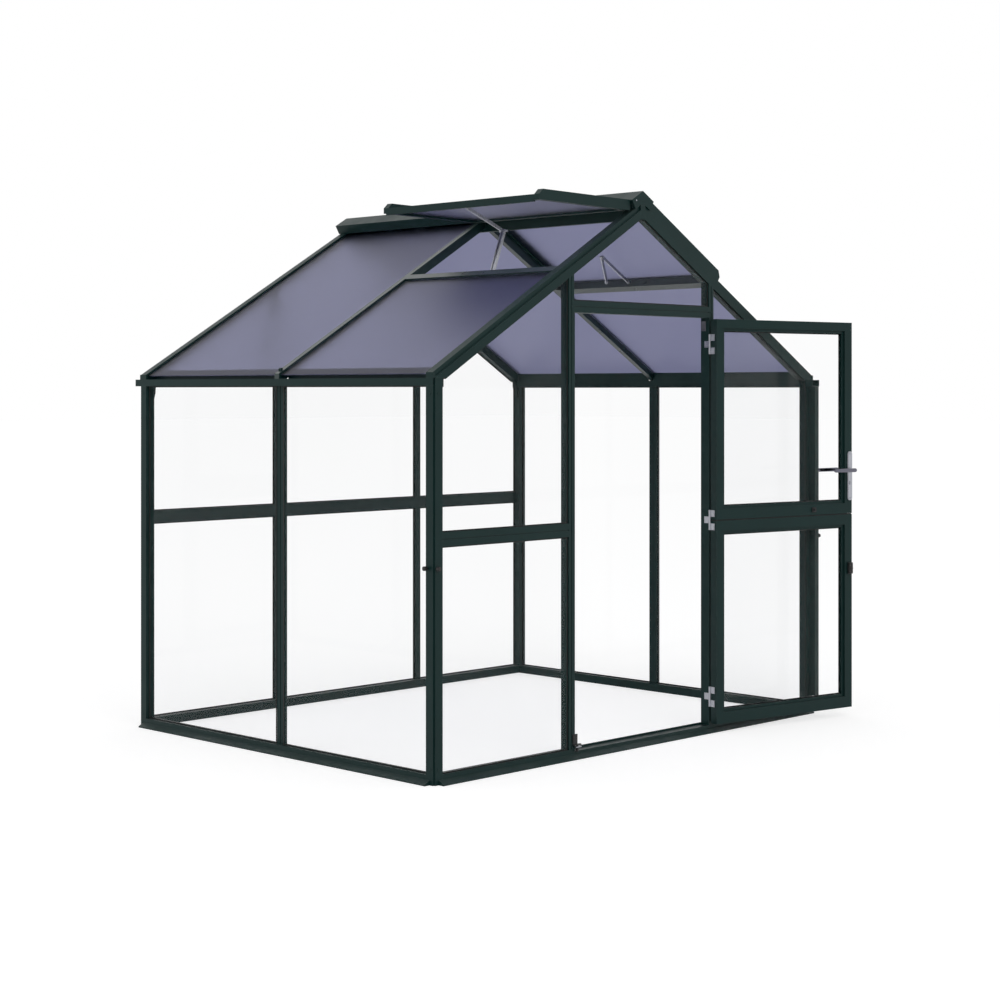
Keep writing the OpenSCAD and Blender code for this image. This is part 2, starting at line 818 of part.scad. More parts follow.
// Outer knuckle of a hinge between two heights, with its plate on the edge of a leaf.
module leaf_hinge(z0, z1) {
    difference() {
        union() {
            translate([pin_x, pin_y, z0]) cylinder(h = z1 - z0, r = knuckle_r);
            slab(leaf_right, leaf_right + plate_t, pin_y, front_y + plate_w, z0, z1);
        }
        translate([pin_x, pin_y, z0 - eps]) cylinder(h = z1 - z0 + 2 * eps, r = pin_r + pin_fit);
    }
}

module lower_knuckle(z) {
    leaf_hinge(z - hinge_len / 2, z - knuckle_len / 2 - knuckle_gap / 2);
}

module upper_knuckle(z) {
    leaf_hinge(z + knuckle_len / 2 + knuckle_gap / 2, z + hinge_len / 2);
}

module hinges_post() {
    color(bright) for (z = [bottom_hinge_z, split_z, top_hinge_z]) post_hinge(z);
}

module hinges_upper_leaf() {
    color(bright) swung_open() {
        lower_knuckle(top_hinge_z);
        upper_knuckle(top_hinge_z);
        upper_knuckle(split_z);
    }
}

module hinges_lower_leaf() {
    color(bright) swung_open() {
        lower_knuckle(split_z);
        lower_knuckle(bottom_hinge_z);
        upper_knuckle(bottom_hinge_z);
    }
}

// ---- handle and fastenings ----

module handle_plates() {
    z0 = lever_z - 0.62 * handle_plate_h;
    color(bright) swung_open() for (y = [front_y - handle_plate_t, front_y + leaf_t]) difference() {
        slab(handle_x - handle_plate_w / 2, handle_x + handle_plate_w / 2,
            y, y + handle_plate_t, z0, z0 + handle_plate_h);
        rod_y(handle_x, lever_z, y - eps, y + handle_plate_t + eps, spindle_r + pin_fit);
    }
}

// Grip of a lever, from its neck towards the hinge side.
module lever_grip(y0) {
    rod_y(handle_x, lever_z, y0, y0 + lever_t, lever_w / 2);
    slab(handle_x, handle_x + lever_len, y0, y0 + lever_t, lever_z - lever_w / 2, lever_z + lever_w / 2);
    rod_y(handle_x + lever_len, lever_z, y0, y0 + lever_t, lever_w / 2);
}

module door_lever() {
    outer = front_y - handle_plate_t;
    inner = front_y + leaf_t + handle_plate_t;
    color(bright) swung_open() union() {
        rod_y(handle_x, lever_z, outer - lever_reach, inner + lever_reach, spindle_r);
        rod_y(handle_x, lever_z, outer - lever_reach, outer - knuckle_gap, neck_r);
        rod_y(handle_x, lever_z, inner + knuckle_gap, inner + lever_reach, neck_r);
        lever_grip(outer - lever_reach);
        lever_grip(inner + lever_reach - lever_t);
    }
}

// Catch on the inner face of the lower leaf, by its closing edge.
module lower_latch() {
    edge = 4;
    knob_r = 8;
    knob_proud = 3;
    color(fixing_black) swung_open() union() {
        slab(leaf_left + edge, leaf_left + edge + latch_w, front_y + leaf_t, front_y + leaf_t + latch_proud,
            latch_z - latch_h / 2, latch_z + latch_h / 2);
        rod_y(leaf_left + edge + latch_w / 2, latch_z, front_y + leaf_t + latch_proud - eps,
            front_y + leaf_t + latch_proud + knob_proud, knob_r);
    }
}

// Slide bolt on the bottom rail of the upper leaf.
module upper_bolt() {
    bolt_w = 26;
    bolt_h = 22;
    bolt_proud = 8;
    knob_r = 6;
    knob_proud = 6;
    x = leaf_left + upper_bolt_x;
    z = upper_bottom + split_rail_h / 2;
    color(fixing_black) swung_open() union() {
        slab(x - bolt_w / 2, x + bolt_w / 2, front_y + leaf_t, front_y + leaf_t + bolt_proud,
            z - bolt_h / 2, z + bolt_h / 2);
        rod_y(x, z, front_y + leaf_t + bolt_proud - eps, front_y + leaf_t + bolt_proud + knob_proud, knob_r);
    }
}

base_rail_front();
base_rail_rear();
base_rail_left();
base_rail_right();
door_sill();
corner_posts_front();
corner_posts_rear();
side_posts();
door_posts();
closing_jamb();
rear_posts();
mid_rails_front();
mid_rails_rear();
door_header();
gutter_left();
gutter_right();
downpipe();
rafters_front();
rafters_rear();
roof_bar_left();
roof_bar_right();
ridge_beam();
ridge_cap();
vent_sills();
eave_brackets();
vent_frame_left();
vent_glass_left();
vent_frame_right();
vent_glass_right();
vent_stay_left();
vent_stay_right();
glass_left_wall();
glass_right_wall();
glass_front();
glass_rear();
roof_glass_left();
roof_glass_right();
upper_leaf_frame();
upper_leaf_glass();
lower_leaf_frame();
lower_leaf_glass();
hinges_post();
hinges_upper_leaf();
hinges_lower_leaf();
handle_plates();
door_lever();
lower_latch();
upper_bolt();
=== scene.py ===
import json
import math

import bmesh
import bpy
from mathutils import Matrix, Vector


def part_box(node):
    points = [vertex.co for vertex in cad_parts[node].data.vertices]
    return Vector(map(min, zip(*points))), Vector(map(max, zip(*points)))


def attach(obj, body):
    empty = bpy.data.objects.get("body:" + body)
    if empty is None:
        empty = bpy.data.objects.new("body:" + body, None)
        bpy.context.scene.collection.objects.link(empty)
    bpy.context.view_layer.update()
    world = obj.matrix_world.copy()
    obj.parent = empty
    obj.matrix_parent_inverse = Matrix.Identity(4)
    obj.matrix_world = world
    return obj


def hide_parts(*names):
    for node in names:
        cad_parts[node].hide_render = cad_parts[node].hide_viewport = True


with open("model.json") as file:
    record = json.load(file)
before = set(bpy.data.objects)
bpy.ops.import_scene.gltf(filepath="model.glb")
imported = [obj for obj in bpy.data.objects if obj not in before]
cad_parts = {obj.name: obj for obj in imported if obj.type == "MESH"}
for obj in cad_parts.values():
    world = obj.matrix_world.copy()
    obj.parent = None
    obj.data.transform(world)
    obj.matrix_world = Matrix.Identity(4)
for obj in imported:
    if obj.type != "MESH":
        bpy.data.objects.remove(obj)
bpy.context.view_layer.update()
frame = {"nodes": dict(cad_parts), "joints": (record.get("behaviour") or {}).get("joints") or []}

# %% [markdown]
# # A small glass greenhouse
# The house is a slim frame of painted metal bars that holds clear panes. Its bars,
# gutters, ridge, panes and hinges arrive as finished engineering shapes, which this
# lesson never moves. What is left is the looks: a camera, light, a finish for each
# kind of surface, and the small hardware that is too fine for an engineering model.

MM = 0.001
nodes = frame["nodes"]

# %% [markdown]
# ## Camera
# The house is seen from its front left corner, from a little under eye height. A long
# lens keeps the uprights parallel. The camera stays level and the picture is shifted
# down instead, because a tilted camera would make the posts lean.

# %% Camera
CAMERA_PLACE = (-6.557, -5.604, 1.55)
CAMERA_HEADING = -45.33
LENS = 70.99
SHIFT = -0.110

bpy.ops.object.camera_add(
    location=CAMERA_PLACE,
    rotation=(math.radians(90), 0, math.radians(CAMERA_HEADING)),
)
camera = bpy.context.object
camera.name = "camera"
camera.data.lens = LENS
camera.data.shift_y = SHIFT
bpy.context.scene.camera = camera
bpy.context.scene.view_settings.view_transform = "Standard"
print("camera with a", LENS, "mm lens")

# %% [markdown]
# ## Room for the picture
# The floor is one wide pale plane. Where it is looked at, mirrored or seen through glass,
# its material adds a little light of its own, so that open floor is as white as the air
# behind it, and only the shade of the frame shows. It lights the frame only by what it
# reflects. The world is made the same way: white to the eye and softer as a light, so
# that a colour comes out about as it is written.

# %% Looked-at strength


def feed(tree, socket, value):
    """Sets a socket to a number, or links another socket to it."""
    if isinstance(value, bpy.types.NodeSocket):
        tree.links.new(value, socket)
    else:
        socket.default_value = value


def math_node(tree, operation, first, second):
    """A maths node on two values, each a socket or a number."""
    node = tree.nodes.new("ShaderNodeMath")
    node.operation = operation
    feed(tree, node.inputs[0], first)
    feed(tree, node.inputs[1], second)
    return node.outputs[0]


def looked_at_strength(tree, as_light, as_seen):
    """One strength for rays from the eye, a mirror or a pane, and another for the rest."""
    rays = tree.nodes.new("ShaderNodeLightPath").outputs
    through = math_node(tree, "MAXIMUM", rays["Is Glossy Ray"], rays["Is Transmission Ray"])
    seen = math_node(tree, "MAXIMUM", rays["Is Camera Ray"], through)
    strength = tree.nodes.new("ShaderNodeMapRange")
    strength.inputs["To Min"].default_value = as_light
    strength.inputs["To Max"].default_value = as_seen
    tree.links.new(seen, strength.inputs["Value"])
    return strength.outputs["Result"]


print("strength for what is looked at ready")

# %% Floor
FLOOR_SIZE = 160
FLOOR_GREY = 0.5
FLOOR_GLOW = 0.635


def new_material(name):
    """An empty material, its nodes and its output."""
    material = bpy.data.materials.new(name)
    material.use_nodes = True
    material.node_tree.nodes.clear()
    output = material.node_tree.nodes.new("ShaderNodeOutputMaterial")
    return material, material.node_tree, output


floor_paint, tree, output = new_material("pale_floor")
diffuse = tree.nodes.new("ShaderNodeBsdfDiffuse")
diffuse.inputs["Color"].default_value = (FLOOR_GREY, FLOOR_GREY, FLOOR_GREY, 1)
glow = tree.nodes.new("ShaderNodeEmission")
floor_strength = looked_at_strength(tree, as_light=0, as_seen=FLOOR_GLOW)
tree.links.new(floor_strength, glow.inputs["Strength"])
both = tree.nodes.new("ShaderNodeAddShader")
tree.links.new(diffuse.outputs[0], both.inputs[0])
tree.links.new(glow.outputs[0], both.inputs[1])
tree.links.new(both.outputs[0], output.inputs["Surface"])

bpy.ops.mesh.primitive_plane_add(size=FLOOR_SIZE)
floor = bpy.context.object
floor.name = "floor"
floor.data.materials.append(floor_paint)
print("floor", FLOOR_SIZE, "m wide")

# %% World
SKY_LIGHT = 0.75

world = bpy.data.worlds.new("white_room")
bpy.context.scene.world = world
world.use_nodes = True
sky = world.node_tree.nodes["Background"]
sky.inputs["Color"].default_value = (1, 1, 1, 1)
sky_strength = looked_at_strength(world.node_tree, as_light=SKY_LIGHT, as_seen=1)
world.node_tree.links.new(sky_strength, sky.inputs["Strength"])
print("sky lights at", SKY_LIGHT)

# %% [markdown]
# ### Lamps
# Two wide soft lamps model the bars. Panes and metal mirror the white room, but not the
# lamps: a lamp seen in a pane would throw stray bright specks on the bars beside it.

# %% Lamps


def add_lamp(name, place, aim, size, watts):
    """A square soft lamp that points at a place on the house."""
    bpy.ops.object.light_add(type="AREA", location=place)
    lamp = bpy.context.object
    lamp.name = name
    lamp.data.size = size
    lamp.data.energy = watts
    lamp.visible_glossy = False
    lamp.visible_transmission = False
    toward = Vector(aim) - Vector(place)
    lamp.rotation_euler = toward.to_track_quat("-Z", "Y").to_euler()


HOUSE_MIDDLE = (0, 1, 1.1)
add_lamp("key_lamp", place=(-3.5, -8, 6.5), aim=HOUSE_MIDDLE, size=5, watts=190)
add_lamp("fill_lamp", place=(-9, 3, 4.5), aim=HOUSE_MIDDLE, size=5, watts=70)
print("two soft lamps")

# %% [markdown]
# ## Shared surface effects
# Real finishes are never one flat value. Four small effects are built once as node
# groups and set into each material with its own amounts: a slow mottle, a fine bump, a
# mask along edges for wear and a painted highlight, and dust that settles on what faces up.
# All of them follow the object's own coordinates, so that nothing slides when a leaf swings.

# %% Group helpers


def new_group(name, inputs, outputs):
    """A shader node group with number inputs and the given outputs."""
    group = bpy.data.node_groups.new(name, "ShaderNodeTree")
    for label, value in inputs.items():
        socket = group.interface.new_socket(label, in_out="INPUT", socket_type="NodeSocketFloat")
        socket.default_value = value
    for label, kind in outputs.items():
        group.interface.new_socket(label, in_out="OUTPUT", socket_type=kind)
    return group, group.nodes.new("NodeGroupInput"), group.nodes.new("NodeGroupOutput")


def noise_node(tree, scale, detail, stretch=(1, 1, 1)):
    """Noise on the object's own coordinates. Scale is a socket or a number."""
    place = tree.nodes.new("ShaderNodeTexCoord")
    mapping = tree.nodes.new("ShaderNodeMapping")
    mapping.inputs["Scale"].default_value = stretch
    noise = tree.nodes.new("ShaderNodeTexNoise")
    noise.inputs["Detail"].default_value = detail
    tree.links.new(place.outputs["Object"], mapping.inputs["Vector"])
    tree.links.new(mapping.outputs["Vector"], noise.inputs["Vector"])
    feed(tree, noise.inputs["Scale"], scale)
    return noise.outputs["Fac"]


print("helpers for groups ready")

# %% [markdown]
# ### Mottle and grain
# Mottle is a value near 1 that drifts a little over the surface: it multiplies a colour
# or a roughness. Grain is a value from 0 to 1 at a fine scale, and drives a bump.

# %% Mottle and grain
mottle, group_in, group_out = new_group(
    "mottle", {"Scale": 3, "Spread": 0.1}, {"Value": "NodeSocketFloat"}
)
drift = noise_node(mottle, group_in.outputs["Scale"], detail=3)
centred = math_node(mottle, "SUBTRACT", drift, 0.5)
doubled = math_node(mottle, "MULTIPLY", centred, 2)
spread = math_node(mottle, "MULTIPLY", doubled, group_in.outputs["Spread"])
mottle.links.new(math_node(mottle, "ADD", spread, 1), group_out.inputs["Value"])

grain, group_in, group_out = new_group("grain", {"Scale": 900}, {"Height": "NodeSocketFloat"})
speckle = noise_node(grain, group_in.outputs["Scale"], detail=2)
grain.links.new(speckle, group_out.inputs["Height"])
print("groups", mottle.name, "and", grain.name)

# %% [markdown]
# ### Edge wear and painted highlight
# Edges are painted lighter: partly paint that thins and rubs along sharp edges, partly a
# painted highlight where a rounded edge would catch the light. A bevelled normal bends
# near an edge, so how far it leans from the face's own normal says how near the edge is.
# A coarse noise breaks the line up, because rubbing is never even.

# %% Edge wear and painted highlight
# The mask paints edges lighter: partly wear, partly a painted highlight.
WEAR_AND_HIGHLIGHT_GAIN = 4

edge_wear_and_painted_highlight, group_in, group_out = new_group(
    "edge_wear_and_painted_highlight", {"Width": 0.0015, "Breakup": 9}, {"Mask": "NodeSocketFloat"}
)
bevel = edge_wear_and_painted_highlight.nodes.new("ShaderNodeBevel")
bevel.samples = 4
edge_wear_and_painted_highlight.links.new(group_in.outputs["Width"], bevel.inputs["Radius"])
geometry = edge_wear_and_painted_highlight.nodes.new("ShaderNodeNewGeometry")
lean = edge_wear_and_painted_highlight.nodes.new("ShaderNodeVectorMath")
lean.operation = "DOT_PRODUCT"
edge_wear_and_painted_highlight.links.new(bevel.outputs["Normal"], lean.inputs[0])
edge_wear_and_painted_highlight.links.new(geometry.outputs["Normal"], lean.inputs[1])
bent = math_node(edge_wear_and_painted_highlight, "SUBTRACT", 1, lean.outputs["Value"])
strong = math_node(edge_wear_and_painted_highlight, "MULTIPLY", bent, WEAR_AND_HIGHLIGHT_GAIN)
patchy = noise_node(edge_wear_and_painted_highlight, group_in.outputs["Breakup"], detail=4)
worn_and_lit = math_node(edge_wear_and_painted_highlight, "MULTIPLY", strong, patchy)
edge_wear_and_painted_highlight.links.new(math_node(edge_wear_and_painted_highlight, "MINIMUM", worn_and_lit, 1), group_out.inputs["Mask"])
print("group", edge_wear_and_painted_highlight.name)

# %% [markdown]
# ### Dust
# Fine dust lies on ledges and gutters. The mask is strong where the surface faces up,
# and noise gathers it into soft patches.

# %% Dust
dust, group_in, group_out = new_group(
    "dust", {"Amount": 0.15, "Scale": 6}, {"Mask": "NodeSocketFloat"}
)
geometry = dust.nodes.new("ShaderNodeNewGeometry")
facing = dust.nodes.new("ShaderNodeSeparateXYZ")
dust.links.new(geometry.outputs["Normal"], facing.inputs[0])
upward = math_node(dust, "MAXIMUM", facing.outputs["Z"], 0)
patches = noise_node(dust, group_in.outputs["Scale"], detail=5)
lying = math_node(dust, "MULTIPLY", upward, patches)
settled = math_node(dust, "MULTIPLY", lying, group_in.outputs["Amount"])
dust.links.new(settled, group_out.inputs["Mask"])
print("group", dust.name)

# %% [markdown]
# ## Finishes
# Each material keeps its own Principled shader. The helpers below set a group into a
# material with its amounts, blend two colours by a mask, and add a bump.

# %% Material helpers
# The colour sockets of a Mix node, by their places in its lists
MIX_FROM, MIX_TO, MIX_RESULT = 6, 7, 2


def place_group(tree, group, **amounts):
    """Sets a node group into a material and returns its first output."""
    node = tree.nodes.new("ShaderNodeGroup")
    node.node_tree = group
    for label, value in amounts.items():
        node.inputs[label].default_value = value
    return node.outputs[0]


def colour_by_mask(tree, under, over, mask):
    """Blends from a socket's colour to a fixed one by a mask."""
    node = tree.nodes.new("ShaderNodeMix")
    node.data_type = "RGBA"
    tree.links.new(under, node.inputs[MIX_FROM])
    node.inputs[MIX_TO].default_value = (*over, 1)
    tree.links.new(mask, node.inputs["Factor"])
    return node.outputs[MIX_RESULT]


def tinted_by_value(tree, colour, value):
    """A colour multiplied by a value that drifts over the surface."""
    node = tree.nodes.new("ShaderNodeVectorMath")
    node.operation = "SCALE"
    node.inputs[0].default_value = colour
    tree.links.new(value, node.inputs["Scale"])
    return node.outputs[0]


def bump_from(tree, height, strength, distance):
    """A normal bent by a height."""
    node = tree.nodes.new("ShaderNodeBump")
    node.inputs["Strength"].default_value = strength
    node.inputs["Distance"].default_value = distance
    tree.links.new(height, node.inputs["Height"])
    return node.outputs["Normal"]


def new_finish(name, **plain):
    """A material with a Principled shader, its plain sockets set straight on it."""
    material, tree, output = new_material(name)
    shader = tree.nodes.new("ShaderNodeBsdfPrincipled")
    for label, value in plain.items():
        shader.inputs[label.replace("_", " ")].default_value = value
    tree.links.new(shader.outputs[0], output.inputs["Surface"])
    return material, tree, shader


print("helpers for finishes ready")

# %% [markdown]
# ### Powder coat
# The frame is coated with a dark green powder, baked on. It has a faint orange peel,
# a slow drift in tone, thin light edges that are partly wear and partly a painted
# highlight, and a breath of dust on ledges.
# A flat dark green would look like plastic film. The roof bars and the sills of the
# vents have a glossier coat, which mirrors more of the white room.

# %% Powder coat
COAT_GREEN = (0.0048, 0.0225, 0.0215)
# Edge colour: partly worn paint, partly a painted highlight.
WORN_AND_LIT_GREEN = (0.05, 0.075, 0.07)
DUST_GREY = (0.32, 0.31, 0.29)


def new_coat(name, gloss, roughness):
    """Dark green powder coat by its gloss and its roughness."""
    material, tree, shader = new_finish(name, Metallic=0, Specular_IOR_Level=gloss)
    drifting = tinted_by_value(tree, COAT_GREEN, place_group(tree, mottle, Scale=4, Spread=0.22))
    # Lighter edges: partly rubbed paint, partly a painted highlight.
    edges = place_group(tree, edge_wear_and_painted_highlight, Width=0.0015, Breakup=11)
    rubbed_and_lit = colour_by_mask(tree, drifting, WORN_AND_LIT_GREEN, edges)
    lying = place_group(tree, dust, Amount=0.1, Scale=5)
    tree.links.new(colour_by_mask(tree, rubbed_and_lit, DUST_GREY, lying), shader.inputs["Base Color"])
    drift = place_group(tree, mottle, Scale=14, Spread=0.25)
    tree.links.new(math_node(tree, "MULTIPLY", drift, roughness), shader.inputs["Roughness"])
    peel = place_group(tree, grain, Scale=420)
    peeled = bump_from(tree, peel, strength=0.12, distance=0.0004)
    tree.links.new(peeled, shader.inputs["Normal"])
    return material


powder_coat = new_coat("powder_coat", gloss=0.16, roughness=0.42)
glossy_coat = new_coat("glossy_coat", gloss=0.55, roughness=0.3)
print("finishes", powder_coat.name, glossy_coat.name)

# %% [markdown]
# ### Glass
# The walls and the door hold clear float glass. The roof panes are tinted a grey violet.
# Each pane has a real thickness, so the shader bends light at both faces. Lamp light
# would stop at such a pane, and the inside would go dark, so for the rays that look for
# a lamp the pane is simply clear. A faint film of dried drops changes the polish, and
# haze blurs what is seen through the roof panes.

# %% Glass


def new_glass(name, tint, haze, bend, shadow_tint, film_scale):
    """Clear or hazy glass that lets lamp light through."""
    material, tree, shader = new_finish(
        name, Metallic=0, Transmission_Weight=1.0, IOR=bend, Specular_IOR_Level=0.5
    )
    output = next(n for n in tree.nodes if n.type == "OUTPUT_MATERIAL")
    tone = tinted_by_value(tree, tint, place_group(tree, mottle, Scale=film_scale, Spread=0.02))
    tree.links.new(tone, shader.inputs["Base Color"])
    film = place_group(tree, dust, Amount=0.02, Scale=30)
    drops = math_node(tree, "MULTIPLY", place_group(tree, grain, Scale=60), 0.006)
    polish = math_node(tree, "ADD", math_node(tree, "ADD", film, drops), haze)
    tree.links.new(polish, shader.inputs["Roughness"])
    clear = tree.nodes.new("ShaderNodeBsdfTransparent")
    clear.inputs["Color"].default_value = (*shadow_tint, 1)
    ray = tree.nodes.new("ShaderNodeLightPath")
    choice = tree.nodes.new("ShaderNodeMixShader")
    tree.links.new(ray.outputs["Is Shadow Ray"], choice.inputs[0])
    tree.links.new(shader.outputs[0], choice.inputs[1])
    tree.links.new(clear.outputs[0], choice.inputs[2])
    tree.links.new(choice.outputs[0], output.inputs["Surface"])
    return material


wall_glass = new_glass(
    "wall_glass", tint=(0.967, 0.969, 0.971), haze=0, bend=1.13,
    shadow_tint=(0.95, 0.95, 0.95), film_scale=0.7,
)
roof_glass = new_glass(
    "roof_glass", tint=(0.215, 0.222, 0.35), haze=0.38, bend=1.2,
    shadow_tint=(0.6, 0.61, 0.68), film_scale=0.9,
)
print("finishes", wall_glass.name, roof_glass.name)

# %% [markdown]
# ### Fittings
# Hinges, handle plates and window stays are bright brushed steel: a metal whose polish
# is drawn out in one direction. The grips of the lever are polished steel with a dark
# colour that is a painted reflection of dark surroundings, and the cover above the top
# hinge is dull zinc. The catches, the latch and the slide bolt are black moulded plastic
# with a fine grain. The panes sit in soft black rubber.

# %% Steel


def new_steel(name, bright, dull, polish):
    """Brushed metal by its bright and dull tones. Polish is its smoothest roughness."""
    material, tree, shader = new_finish(name, Metallic=1.0)
    strokes = noise_node(tree, scale=260, detail=3, stretch=(1, 1, 0.08))
    drifting = tinted_by_value(tree, bright, place_group(tree, mottle, Scale=30, Spread=0.12))
    faded = colour_by_mask(tree, drifting, dull, math_node(tree, "MULTIPLY", strokes, 0.3))
    tree.links.new(faded, shader.inputs["Base Color"])
    rough = math_node(tree, "ADD", math_node(tree, "MULTIPLY", strokes, 0.25), polish)
    tree.links.new(rough, shader.inputs["Roughness"])
    brushed = bump_from(tree, strokes, strength=0.1, distance=0.0002)
    tree.links.new(brushed, shader.inputs["Normal"])
    return material


brushed_steel = new_steel(
    "brushed_steel", bright=(0.42, 0.43, 0.47), dull=(0.2, 0.2, 0.22), polish=0.17
)
# The grips' dark colour is a painted reflection of dark surroundings.
steel_painted_dark_reflection = new_steel(
    "steel_painted_dark_reflection", bright=(0.15, 0.15, 0.185), dull=(0.06, 0.06, 0.07), polish=0.05
)
dull_zinc = new_steel(
    "dull_zinc", bright=(0.13, 0.135, 0.15), dull=(0.07, 0.07, 0.08), polish=0.3
)
print("finishes", brushed_steel.name, steel_painted_dark_reflection.name, dull_zinc.name)

# %% Plastic and rubber
BLACK_PLASTIC = (0.012, 0.012, 0.013)
# Pale edge colour: partly wear, partly a painted highlight.
PLASTIC_GREY = (0.06, 0.06, 0.062)
RUBBER = (0.014, 0.015, 0.015)


def new_dull_black(name, colour, pale, roughness, peel_scale, peel_strength):
    """A dull black solid: moulded plastic or rubber, by its grain and its polish."""
    material, tree, shader = new_finish(name, Metallic=0, Specular_IOR_Level=0.35)
    drifting = tinted_by_value(tree, colour, place_group(tree, mottle, Scale=25, Spread=0.25))
    # Paler edges: partly wear, partly a painted highlight.
    edges = place_group(tree, edge_wear_and_painted_highlight, Width=0.0006, Breakup=40)
    tree.links.new(colour_by_mask(tree, drifting, pale, edges), shader.inputs["Base Color"])
    polish = place_group(tree, mottle, Scale=60, Spread=0.2)
    tree.links.new(math_node(tree, "MULTIPLY", polish, roughness), shader.inputs["Roughness"])
    height = place_group(tree, grain, Scale=peel_scale)
    grained = bump_from(tree, height, strength=peel_strength, distance=0.0003)
    tree.links.new(grained, shader.inputs["Normal"])
    return material


moulded_black = new_dull_black(
    "moulded_black", BLACK_PLASTIC, PLASTIC_GREY,
    roughness=0.45, peel_scale=1800, peel_strength=0.25,
)
soft_rubber = new_dull_black(
    "soft_rubber", RUBBER, PLASTIC_GREY,
    roughness=0.65, peel_scale=700, peel_strength=0.15,
)
print("finishes", moulded_black.name, soft_rubber.name)

# %% [markdown]
# ## Finishes on the engineering parts
# Each part takes its finish by what it is made of. The short lists here name the panes,
# the steel and plastic parts and the glossier bars. All the rest is powder coat.

# %% Finishes on the parts
ROOF_PANES = ("roof_glass_left", "roof_glass_right", "vent_glass_left", "vent_glass_right")
WALL_PANES = (
    "glass_left_wall", "glass_right_wall", "glass_front", "glass_rear",
    "upper_leaf_glass", "lower_leaf_glass",
)
STEEL_PARTS = (
    "hinges_post", "hinges_upper_leaf", "hinges_lower_leaf", "handle_plates", "door_lever",
    "vent_stay_left", "vent_stay_right",
)
BLACK_PARTS = ("lower_latch", "upper_bolt")
GLOSSY_PARTS = ("roof_bar_left", "roof_bar_right", "vent_sills")

finish_of = dict.fromkeys(nodes, powder_coat)
finish_of.update(dict.fromkeys(ROOF_PANES, roof_glass))
finish_of.update(dict.fromkeys(WALL_PANES, wall_glass))
finish_of.update(dict.fromkeys(STEEL_PARTS, brushed_steel))
finish_of.update(dict.fromkeys(BLACK_PARTS, moulded_black))
finish_of.update(dict.fromkeys(GLOSSY_PARTS, glossy_coat))
for name, part in nodes.items():
    part.data.materials.clear()
    part.data.materials.append(finish_of[name])
print(sum(f is powder_coat for f in finish_of.values()), "painted parts")

# %% [markdown]
# ## Modelling by hand
# The small hardware is modelled the way a hand would do it: a simple block or cylinder at
# its real size and place, then faces pushed in, pulled out and rounded. An operator acts
# on all that is selected, so these helpers first clear the selection and then pick faces
# or edges by where they lie. A face counts as square on to an axis when its normal has
# more than nine tenths of its length along it.

# %% Modelling helpers
SQUARE_ON = 0.9
SHARP_ANGLE = math.radians(35)
LEFT, RIGHT = Vector((-1, 0, 0)), Vector((1, 0, 0))
FRONT, REAR = Vector((0, -1, 0)), Vector((0, 1, 0))
UP = Vector((0, 0, 1))


def finish_edit():
    """Back to object mode."""
    bpy.ops.object.mode_set(mode="OBJECT")


def start_block(low, high):
    """A block between two corners, open in edit mode."""
    bpy.ops.object.select_all(action="DESELECT")
    low, high = Vector(low), Vector(high)
    bpy.ops.mesh.primitive_cube_add(size=1, location=(low + high) / 2, scale=high - low)
    bpy.ops.object.transform_apply(location=True, rotation=True, scale=True)
    bpy.ops.object.mode_set(mode="EDIT")
    return bpy.context.object


def start_round(radius, base, tip, sides=32):
    """A cylinder from the middle of its base to the middle of its tip, in edit mode."""
    bpy.ops.object.select_all(action="DESELECT")
    along = Vector(tip) - Vector(base)
    bpy.ops.mesh.primitive_cylinder_add(
        vertices=sides,
        radius=radius,
        depth=along.length,
        location=(Vector(tip) + Vector(base)) / 2,
        rotation=along.to_track_quat("Z", "Y").to_euler(),
    )
    bpy.ops.object.transform_apply(location=True, rotation=True, scale=True)
    bpy.ops.object.mode_set(mode="EDIT")
    return bpy.context.object


def pick_faces(piece, rule):
    """Selects the faces whose middle and normal pass the rule."""
    bpy.ops.mesh.select_mode(type="FACE")
    bpy.ops.mesh.select_all(action="DESELECT")
    mesh = bmesh.from_edit_mesh(piece.data)
    chosen = [f for f in mesh.faces if rule(f.calc_center_median(), f.normal)]
    for face in chosen:
        face.select_set(True)
    bmesh.update_edit_mesh(piece.data)


def pick_edges(piece, rule):
    """Selects the edges whose two ends pass the rule."""
    bpy.ops.mesh.select_mode(type="EDGE")
    bpy.ops.mesh.select_all(action="DESELECT")
    mesh = bmesh.from_edit_mesh(piece.data)
    chosen = [e for e in mesh.edges if rule(e.verts[0].co, e.verts[1].co)]
    for edge in chosen:
        edge.select_set(True)
    bmesh.update_edit_mesh(piece.data)


def push(move):
    """Extrudes the selected faces by a move."""
    bpy.ops.mesh.extrude_region_move(TRANSFORM_OT_translate={"value": move})


def cut(place, across):
    """Cuts the selected faces by a plane through a place, square to a direction."""
    bpy.ops.mesh.bisect(plane_co=place, plane_no=across)


def panel(rim, move):
    """Keeps a rim round the selected faces and extrudes what lies inside it."""
    bpy.ops.mesh.inset(thickness=rim)
    push(move)


def soften(piece, width, segments=2):
    """Rounds the sharp edges with a bevel modifier, then shades them smooth."""
    finish_edit()
    bevel = piece.modifiers.new("soft_edges", "BEVEL")
    bevel.width = width
    bevel.segments = segments
    bevel.limit_method = "ANGLE"
    bevel.angle_limit = SHARP_ANGLE
    bpy.ops.object.modifier_apply(modifier=bevel.name)
    bpy.ops.object.shade_smooth_by_angle(angle=SHARP_ANGLE)
    return piece


def copy_at(piece, place):
    """A copy with its own mesh, its place written into the mesh."""
    twin = piece.copy()
    twin.data = piece.data.copy()
    bpy.context.collection.objects.link(twin)
    twin.data.transform(place)
    if place.determinant() < 0:
        twin.data.flip_normals()
    return twin


